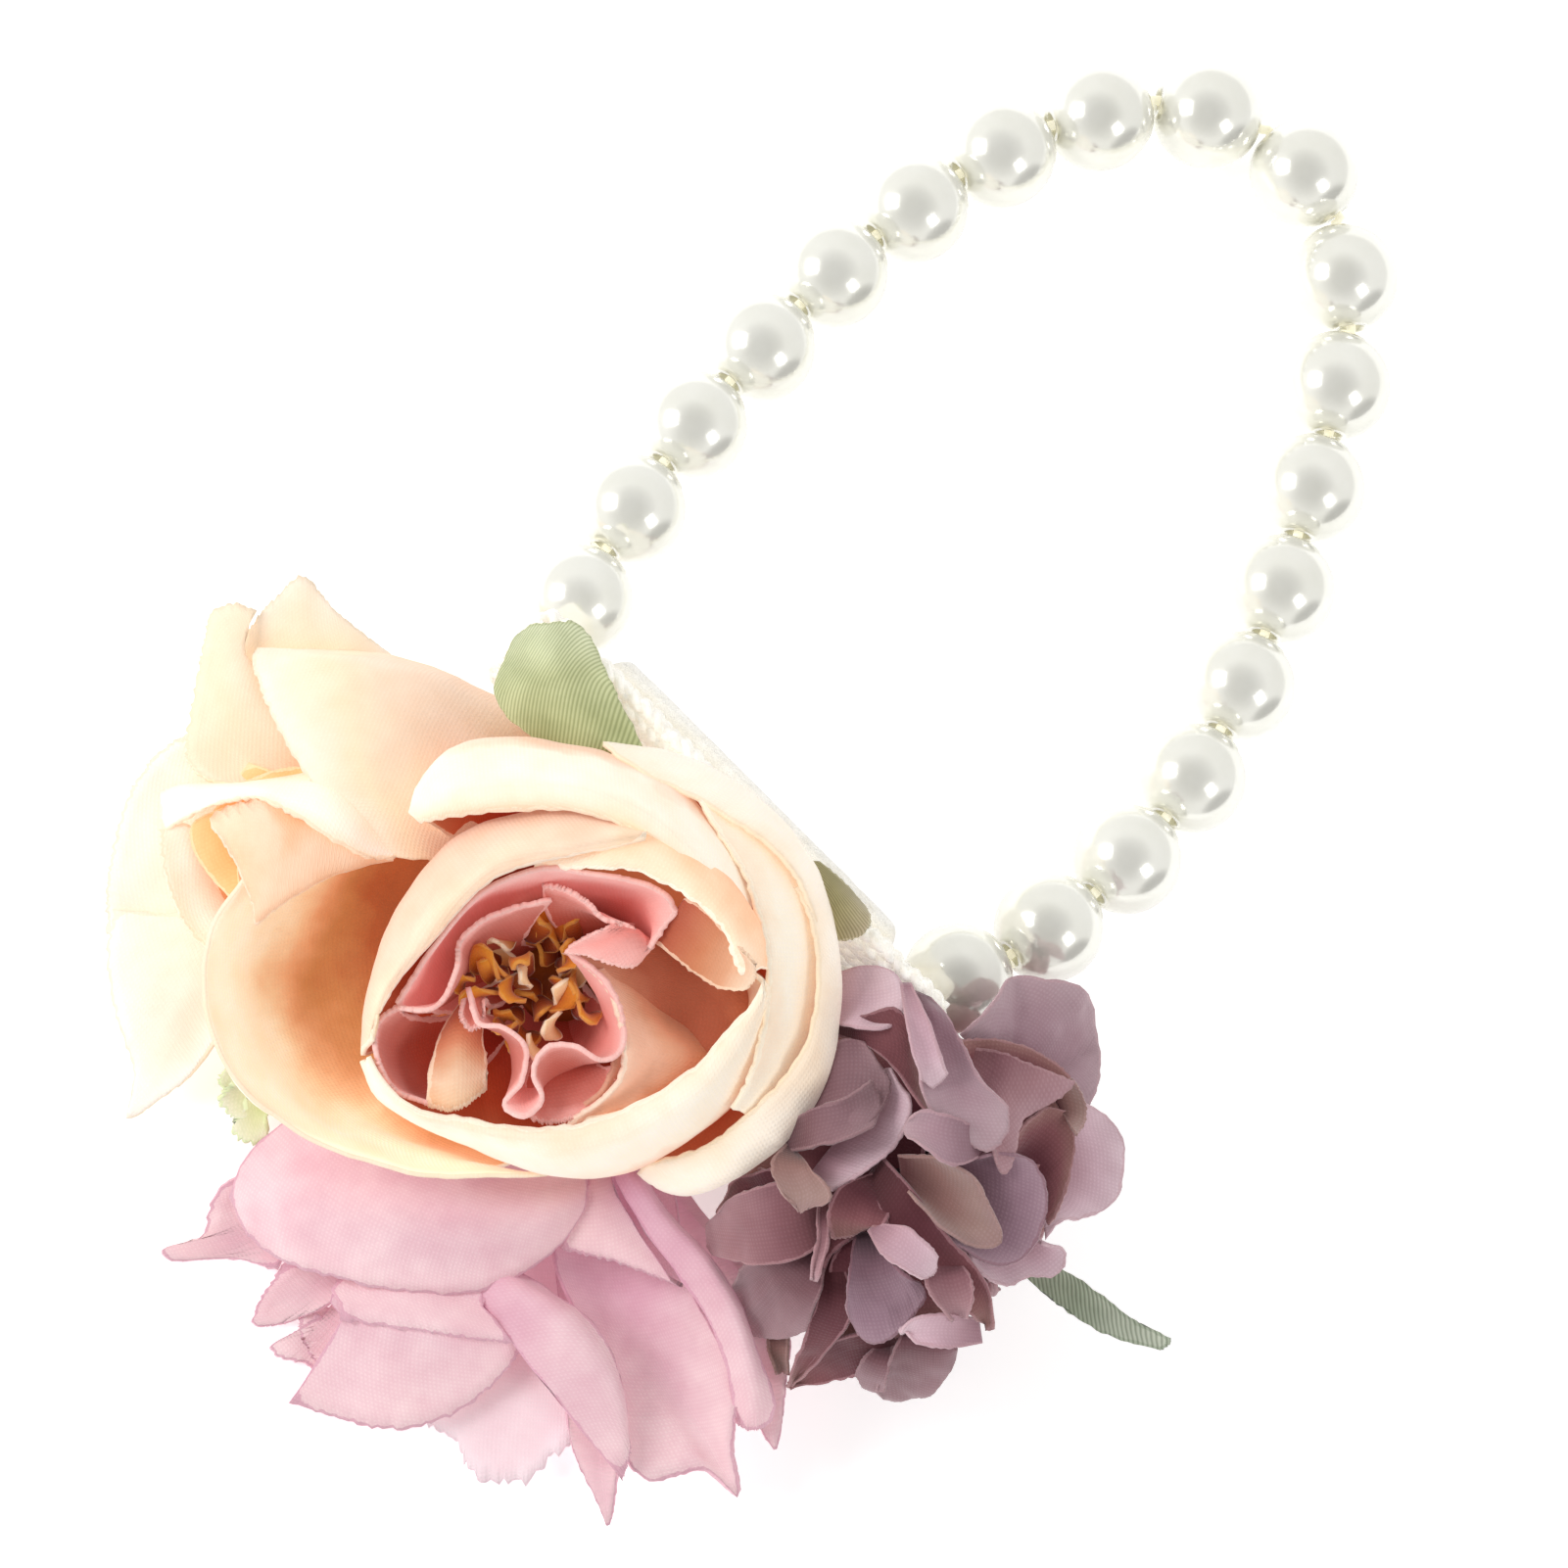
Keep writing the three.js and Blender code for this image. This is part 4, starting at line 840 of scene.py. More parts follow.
# Front petal: its face hangs into the bowl of the main rose. Its cloth is darker orange near the top:
# painted shade under the rolled rim
front_face = [
    [(315, 604, 20), (290, 620, 10), (250, 635, 8), (205, 640, 8)],
    [(297, 609, 86), (282, 600, 94), (262, 590, 98), (244, 581, 98), (224, 575, 92), (205, 579, 80),
     (187, 588, 64)],
    [(297, 610, 90), (282, 608, 102), (262, 604, 109), (244, 598, 112), (226, 592, 110), (208, 592, 100),
     (190, 593, 76)],
    [(292, 611, 92), (270, 616, 104), (253, 623, 110), (240, 631, 114), (231, 637, 117), (222, 644, 119),
     (214, 650, 120), (213, 639, 116), (207, 621, 106), (198, 604, 92), (189, 591, 74)],
]

# Its rim, which rolls over the face
rolled_rim = [
    [(298, 607, 88), (288, 592, 90), (275, 572, 92), (260, 558, 90), (235, 561, 82), (207, 565, 72),
     (188, 566, 64), (170, 567, 55), (158, 572, 48)],
    [(298, 608, 92), (284, 599, 100), (270, 585, 106), (256, 573, 106), (238, 569, 102), (212, 568, 92),
     (190, 570, 78), (171, 574, 64), (158, 579, 54)],
    [(297, 609, 95), (282, 609, 106), (263, 601, 114), (245, 589, 115), (225, 577, 109), (211, 574, 98),
     (194, 577, 84), (175, 585, 68), (160, 594, 56)],
]
pale_left_rim = [
    [(230, 655, 16), (206, 650, 20), (190, 640, 26)],
    [(206, 652, 44), (190, 640, 46), (180, 612, 50), (176, 592, 54)],
    [(190, 668, 56), (172, 650, 60), (160, 622, 60), (156, 592, 58)],
]

# Orange slivers in the hollow of the rose, seen over and under the rolled rim: painted shade
inside_shade = [
    [(280, 600, 40), (260, 606, 44)],
    [(232, 562, 66), (212, 590, 60)],
    [(210, 552, 58), (176, 600, 52)],
]
shade_over_rim = [
    [(262, 572, 80), (240, 574, 76)],
    [(262, 561, 86), (236, 566, 80), (208, 568, 72)],
    [(258, 555, 84), (246, 555, 80), (228, 557, 75), (206, 565, 68)],
]
shade_under_rim = [
    [(250, 596, 60), (230, 600, 56)],
    [(226, 584, 84), (204, 600, 70)],
    [(222, 575, 80), (208, 576, 76), (190, 581, 70), (177, 588, 62), (176, 602, 62), (185, 618, 66),
     (198, 632, 72), (208, 640, 78)],
]

inner_upper = [
    [(300, 600, 14), (280, 580, 24), (270, 570, 34)],
    [(240, 610, 16), (220, 585, 34), (222, 566, 54)],
    [(205, 612, 20), (196, 590, 36), (208, 568, 56)],
]
inner_lower = [
    [(300, 610, -4), (290, 620, 10), (280, 630, 24)],
    [(245, 630, -2), (228, 640, 14), (232, 640, 30)],
    [(212, 630, 0), (198, 634, 16), (206, 640, 34)],
]

# Pieces of the side rose
add_rose("side_rose", side_hub, [
    ("outer", "outer", "pale_peach_fabric", pale_outside, pale_inside, [broad_top, pointed_top],
     {"columns": wide_columns}),
    ("far", "outer", "pale_peach_fabric", pale_outside, far_inside, [far_left, drooping_tip],
     {"columns": wide_columns}),
    ("middle", "middle", "pale_peach_fabric", pale_outside, warm_inside, [left_of_top, low_on_table],
     {"columns": wide_columns, "fray": rough_fray}),
    ("face", "middle", "pale_peach_fabric", face_cloth, face_cloth, [front_face], {}),
    ("roll", "middle", "pale_peach_fabric", roll_cloth, roll_cloth, [rolled_rim, pale_left_rim],
     {"foot_share": roll_foot_share}),
    ("heart", "inner", "peach_fabric", heart_shade_cloth, heart_shade_cloth,
     [inside_shade, shade_over_rim, shade_under_rim], {"fray": smooth_fray}),
    ("inner", "inner", "peach_fabric", peach_outside, peach_inside, [inner_upper, inner_lower], {}),
])


# Pink rose, which lies on the table below the others
pink_hub = (405, 659, -40)

# Upper front petal, the right one, seen from within, and the small ones on the left
pink_front = [
    [(300, 740, -4), (340, 745, 12), (380, 745, 14), (410, 750, 4)],
    [(238, 762, 20), (290, 772, 30), (350, 782, 32), (412, 796, 28)],
    [(206, 790, 20), (250, 812, 52), (320, 826, 64), (380, 822, 56), (412, 812, 40)],
    [(198, 812, 18), (210, 836, 26), (234, 852, 34), (265, 861, 40), (300, 868, 42), (338, 870, 42),
     (368, 860, 42), (392, 844, 40), (406, 824, 38)],
]
pink_right = [
    [(400, 780, -8), (430, 790, -8), (460, 790, 0)],
    [(392, 850, 22), (430, 858, 6), (472, 858, 18)],
    [(415, 900, 22), (448, 910, 6), (492, 900, 26)],
    [(434, 968, 22), (448, 982, 18), (466, 980, 17), (482, 976, 17), (503, 992, 14), (499, 962, 22),
     (505, 925, 26)],
]
pink_pointed = [
    [(330, 740, -20), (320, 760, -10)],
    [(230, 800, 4), (235, 845, 10)],
    [(202, 800, 14), (188, 812, 10), (179, 838, 6), (156, 846, 4), (160, 854, 3), (200, 850, 8),
     (226, 856, 14)],
]
pink_left = [
    [(340, 750, -24), (335, 780, -16)],
    [(250, 846, 6), (266, 868, 12)],
    [(232, 848, 12), (222, 864, 9), (212, 880, 7), (210, 892, 6), (226, 890, 8), (252, 880, 14)],
]
pink_under_left = [
    [(350, 800, -26), (345, 820, -22)],
    [(280, 874, 0), (284, 910, 2)],
    [(240, 876, 2), (238, 898, 2), (252, 922, 4)],
]
pink_small_left = [
    [(345, 770, -26), (340, 790, -20)],
    [(258, 878, 4), (272, 890, 10)],
    [(250, 882, 10), (236, 894, 7), (221, 903, 6), (224, 910, 6), (242, 915, 6), (262, 922, 8),
     (272, 905, 14)],
]

pink_bottom = [
    [(360, 780, -20), (390, 790, -20), (410, 790, -18)],
    [(316, 900, 8), (360, 905, 10), (412, 905, 12)],
    [(304, 940, 8), (322, 952, 7), (334, 960, 7), (342, 978, 7), (358, 984, 6), (376, 984, 6),
     (388, 972, 7), (404, 960, 9), (418, 945, 12)],
]

# Lower left petal under the front one, its turned-over top, a narrow one and a sliver on the right
pink_low = [
    [(350, 760, -10), (370, 765, -4), (390, 770, -4)],
    [(262, 862, 30), (305, 866, 38), (350, 870, 40)],
    [(264, 886, 34), (312, 894, 40), (370, 900, 38)],
    [(232, 937, 14), (260, 944, 18), (290, 951, 20), (318, 948, 21), (342, 936, 23), (362, 918, 28),
     (376, 900, 34)],
]
pink_low_rim = [
    [(350, 800, 0), (380, 800, 0)],
    [(266, 860, 30), (310, 862, 38), (352, 870, 38)],
    [(264, 872, 38), (312, 876, 45), (356, 884, 44)],
    [(264, 886, 37), (312, 893, 42), (369, 900, 41)],
]
pink_narrow = [
    [(390, 800, -12), (400, 800, -12)],
    [(398, 900, 18), (420, 900, 20)],
    [(400, 940, 18), (404, 966, 14), (417, 994, 10), (425, 1010, 8), (429, 992, 12), (432, 968, 18)],
]
pink_sliver = [
    [(440, 790, -16), (460, 790, -16)],
    [(500, 870, 8), (520, 870, 10)],
    [(508, 905, 14), (516, 950, 9), (526, 963, 7), (531, 930, 9), (534, 900, 13)],
]

# Folds across the middle and on the right, and the petal between the front one and the right one
pink_fold = [
    [(400, 790, -4), (405, 790, -2)],
    [(336, 852, 16), (350, 846, 20), (366, 846, 16)],
    [(346, 872, 38), (364, 862, 45), (384, 866, 38)],
    [(370, 903, 42), (392, 882, 51), (411, 884, 44)],
    [(396, 936, 38), (415, 908, 47), (426, 903, 40)],
    [(416, 962, 30), (430, 934, 38), (433, 926, 34)],
    [(433, 982, 24), (438, 966, 28), (436, 954, 26)],
]
pink_right_fold = [
    [(420, 770, 4), (432, 772, 6)],
    [(430, 802, 44), (437, 796, 50), (446, 800, 44)],
    [(448, 834, 42), (456, 824, 48), (464, 826, 42)],
    [(466, 858, 40), (477, 846, 46), (487, 850, 40)],
    [(484, 884, 36), (496, 874, 44), (504, 880, 36)],
    [(496, 914, 30), (507, 904, 38), (515, 910, 30)],
    [(500, 938, 24), (512, 932, 30), (524, 934, 24)],
    [(502, 948, 18), (512, 952, 22), (522, 946, 17)],
]
pink_between = [
    [(410, 770, 0), (430, 775, 0)],
    [(412, 806, 32), (428, 806, 36)],
    [(398, 838, 34), (430, 840, 38), (460, 858, 34)],
    [(396, 843, 32), (430, 852, 34), (470, 866, 32)],
]

# Pieces of the pink rose
add_rose("pink_rose", pink_hub, [
    ("outer", "outer", "pink_fabric", pink_outside, pink_inside,
     [pink_front, pink_right, pink_pointed, pink_left, pink_under_left, pink_small_left], {}),
    ("pale", "outer", "pink_fabric", pale_pink, pale_pink, [pink_bottom], {"fray": torn_fray}),
    ("middle", "middle", "pink_fabric", pink_outside, pink_inside,
     [pink_low, pink_low_rim, pink_narrow, pink_sliver], {}),
    ("inner", "inner", "pink_fabric", pink_outside, pink_inside, [pink_fold, pink_right_fold, pink_between],
     {"foot_share": fold_foot_share}),
])


# Solid pieces: tubes, pads and pearls
def both_ways(count):
    """Evenly spaced values from -1 to 1"""
    return [2 * k / count - 1 for k in range(count + 1)]


class Tubes:
    """Round strands that make one object"""

    def __init__(self, sides):
        self.sides = sides
        self.points = []
        self.faces = []

    def add(self, route, radii):
        """Strand through a route, with a radius at each point or one for all"""
        count = len(route)
        radii = radii if isinstance(radii, list) else [radii] * count
        start = len(self.points)
        side = (route[1] - route[0]).normalized().orthogonal().normalized()
        for k, spot in enumerate(route):
            way = (route[min(k + 1, count - 1)] - route[max(k - 1, 0)]).normalized()
            side = (side - way * side.dot(way)).normalized()
            other = way.cross(side)
            for s in range(self.sides):
                angle = 2 * math.pi * s / self.sides
                self.points.append(spot + (side * math.cos(angle) + other * math.sin(angle)) * radii[k])
        for k in range(count - 1):
            for s in range(self.sides):
                a = start + k * self.sides + s
                b = start + k * self.sides + (s + 1) % self.sides
                self.faces.append((a, b, b + self.sides, a + self.sides))
        first = [start + s for s in range(self.sides)]
        last = [start + (count - 1) * self.sides + s for s in range(self.sides)]
        self.faces += [tuple(reversed(first)), tuple(last)]

    def build(self, name, body, replaced, slot, material):
        return add_piece(name, self.points, self.faces, body, replaced, material)


# Pearls and the cord
pearl_count = 19
pearl_radius = 3.9 * MM
pearl_steps = 30
pearl_turns = 56
bore_radius = 0.9 * MM
lip_radius = 0.972 * MM
lip_drop = 0.06 * MM
lip_depth = 0.35 * MM
lip_angle = 0.12
cord_radius = 0.35 * MM
cord_sides = 10
link_points = 14
root_points = 60
groove_middle = -2.25 * MM
cord_exit = 13.8 * MM


def middle_of(node):
    low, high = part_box(node)
    return (Vector(low) + Vector(high)) / 2


pearl_names = [f"pearl_{k + 1:02d}" for k in range(pearl_count)]
pearl_places = [middle_of(name) for name in pearl_names]
exits = [Vector((-cord_exit, groove_middle, 0)), Vector((cord_exit, groove_middle, 0))]
cord_stops = [exits[0], *pearl_places, exits[1]]
pearl_ways = [(c - a).normalized() for a, c in zip(cord_stops, cord_stops[2:])]


def add_pearl(name, spot, way):
    """Bored ball: its profile starts in one mouth of the bore and ends in the other"""
    mouth = math.asin(bore_radius / pearl_radius)
    half = pearl_radius * math.cos(mouth)
    first = mouth + lip_angle
    angles = [first + (math.pi - 2 * first) * k / pearl_steps for k in range(pearl_steps + 1)]
    ball = [(pearl_radius * math.sin(angle), -pearl_radius * math.cos(angle)) for angle in angles]
    lip = [(bore_radius, half - lip_depth), (lip_radius, half - lip_drop)]
    profile = [(radius, -height) for radius, height in lip] + ball + lip[::-1]
    turn = way.to_track_quat("Z", "Y").to_matrix()
    points = []
    for radius, height in profile:
        for s in range(pearl_turns):
            angle = 2 * math.pi * s / pearl_turns
            points.append(spot + turn @ Vector((radius * math.cos(angle), radius * math.sin(angle), height)))
    faces = []
    for k in range(len(profile)):
        here, after = k * pearl_turns, (k + 1) % len(profile) * pearl_turns
        for s in range(pearl_turns):
            beside = (s + 1) % pearl_turns
            faces.append((here + s, here + beside, after + beside, after + s))
    add_piece(f"{name}_ball", points, faces, f"{name}_body", name, pearl_coat)


def add_cord():
    """Cord in parts: one on each pearl that reaches into the next, and two that stretch from the strip"""
    for k in range(pearl_count - 1):
        here, after = pearl_places[k], pearl_places[k + 1]
        leaves = here + pearl_ways[k] * pearl_radius
        enters = after - pearl_ways[k + 1] * pearl_radius
        strand = Tubes(cord_sides)
        strand.add(along_curve([here, leaves, enters, after], link_points), cord_radius)
        strand.build(f"cord_{k + 1:02d}", f"{pearl_names[k]}_body", "elastic_cord", "cord", elastic)
    for side, k in ((0, 0), (1, pearl_count - 1)):
        sign = 1 if side else -1
        mouth = pearl_places[k] + pearl_ways[k] * sign * pearl_radius
        inside = [Vector((0, groove_middle, 0)), Vector((sign * cord_exit / 2, groove_middle, 0))]
        route = [*inside, exits[side], mouth, pearl_places[k]]
        strand = Tubes(cord_sides)
        strand.add(along_curve(route, root_points), cord_radius)
        root = strand.build(f"cord_root_{side + 1}", None, "elastic_cord", "cord", elastic)
        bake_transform(root)


for name, spot, way in zip(pearl_names, pearl_places, pearl_ways):
    add_pearl(name, spot, way)
add_cord()

# Felt and lace: sizes, and shares of the lace's half length and half width
felt_half_length = 13.8 * MM
felt_half_width = 8 * MM
felt_back = -1.4 * MM
felt_fuzz = 0.05 * MM
lace_half_length = 20 * MM
lace_half_width = 9.5 * MM
lace_front = -1.7 * MM
lace_back = -3.6 * MM
lace_fuzz = 0.08 * MM
lace_length_share = 0.95
edge_length_share = 0.965
end_length_share = 0.96
end_width_share = 0.86
row_width_share = 0.26
rows_each_side = 3
edge_rows = ((0.02, 0), (-0.08, 0.5), (-0.08, -0.5))  # beyond the scallops, and in front of the middle
scallops = 10
trough_share = 0.9
bulge_share = 0.08
pad_columns = 120
pad_rows = 60
border_power = 14
corner_share = 0.05
corner_power = 6
fine_bump = 0.6 * MM
coarse_bump = 1.7 * MM
weld_distance = 0.001 * MM
thread = 0.34 * MM
thread_sides = 7
braid_strands = 3
braid_pitch = 3.2 * MM
edge_swing = 0.42 * MM
face_swing = 0.5 * MM
depth_swing_share = 0.5
flat_share = 0.4
edge_points = 400
face_points = 300
end_points = 160


def straight(along):
    return 1


def scallop(along):
    """Share of the lace's half width at a share of its half length"""
    return trough_share + bulge_share * abs(math.sin(math.pi * scallops * (along + 1) / 2))


def pad(name, half_length, half_width, front, back, replaced, material, edge_at, fuzz):
    """Flat pad in X and Z with a soft border. edge_at(share along) scales its half width"""
    points, faces = [], []
    middle, half = (front + back) / 2, (front - back) / 2
    for side in (1, -1):
        for u in both_ways(pad_columns):
            for v in both_ways(pad_rows):
                border = 1 - max(abs(u), abs(v)) ** border_power
                corner = 1 - corner_share * abs(u * v) ** corner_power
                x = half_length * u * corner
                z = half_width * v * corner * edge_at(u)
                spot = Vector((x, middle + side * half * math.sqrt(border), z))
                bumps = noise.noise(spot / fine_bump) + noise.noise(spot / coarse_bump)
                spot.y += side * bumps * fuzz * border
                points.append(spot)
    layer = (pad_columns + 1) * (pad_rows + 1)
    for side in (0, 1):
        for i in range(pad_columns):
            for j in range(pad_rows):
                a = side * layer + i * (pad_rows + 1) + j
                quad = (a, a + 1, a + pad_rows + 2, a + pad_rows + 1)
                faces.append(quad if side else quad[::-1])
    piece = add_piece(name, points, faces, FLOWERS, replaced, material)
    weld = piece.modifiers.new("weld", "WELD")
    weld.merge_threshold = weld_distance


def add_braid(braid, route, swing, out):
    """Strands that swing across a route and, twice as often, along out"""
    length = sum((b - a).length for a, b in zip(route, route[1:]))
    last = len(route) - 1
    for strand in range(braid_strands):
        phase = 2 * math.pi * strand / braid_strands
        path = []
        for k, spot in enumerate(route):
            way = (route[min(k + 1, last)] - route[max(k - 1, 0)]).normalized()
            side = way.cross(out).normalized()
            angle = 2 * math.pi * k / last * length / braid_pitch + phase
            across = side * math.sin(angle) * swing
            path.append(spot + across + out * math.sin(2 * angle) * swing * depth_swing_share)
        braid.add(path, thread)


def add_crochet():
    """Braids of thread along the lace's scalloped edges, its ends and over both of its faces"""
    braid = Tubes(thread_sides)
    depth = (lace_front + lace_back) / 2
    half = (lace_front - lace_back) / 2
    outwards = Vector((0, 1, 0))
    for side in (1, -1):
        for beyond, in_front in edge_rows:
            route = []
            for along in both_ways(edge_points):
                z = side * lace_half_width * (scallop(along) + beyond)
                x = lace_half_length * edge_length_share * along
                route.append(Vector((x, depth + half * in_front, z)))
            add_braid(braid, route, edge_swing, outwards)
    for face in (1, -1):
        y = depth + face * (half - thread)
        for row in range(-rows_each_side, rows_each_side + 1):
            z = lace_half_width * row_width_share * row
            reach = lace_half_length * lace_length_share
            route = [Vector((reach * along, y, z)) for along in both_ways(face_points)]
            add_braid(braid, route, face_swing, outwards * face * flat_share)
    for side in (1, -1):
        x = side * lace_half_length * end_length_share
        reach = lace_half_width * end_width_share
        route = [Vector((x, depth, reach * across)) for across in both_ways(end_points)]
        add_braid(braid, route, edge_swing, outwards)
    braid.build("lace_crochet", FLOWERS, "lace_strip", "lace", lace_thread)


pad("felt_cloth", felt_half_length, felt_half_width, 0, felt_back, "felt_backing", felt_cloth,
    straight, felt_fuzz)
pad("lace_cloth", lace_half_length * lace_length_share, lace_half_width, lace_front - thread,
    lace_back + thread, "lace_strip", lace_thread, scallop, lace_fuzz)
add_crochet()


# Hydrangea: florets of four petals round a knob
hydrangea_middle = Vector((24.6, -10.8, 2.2)) * MM
floret_reach = 9.6 * MM
floret_thickness = 0.22 * MM
florets = [  # heading, elevation and turn in degrees, and reach as a share
    (-118, 76, 20, 1.0), (48, 58, 50, 0.92), (147, 55, 10, 0.94), (-144, 35, 30, 1.02), (-85, 27, 60, 0.93),
    (-26, 38, 15, 1.04), (22, 13, 45, 0.94), (68, 22, 20, 1.0), (117, 21, 80, 0.92), (-110, -10, 35, 1.03),
    (-65, -9, 70, 1.0), (-21, 0, 5, 0.95), (-84, -49, 50, 0.92), (-29, -42, 10, 1.0), (15, -29, 65, 0.84),
]
seen_florets = 6

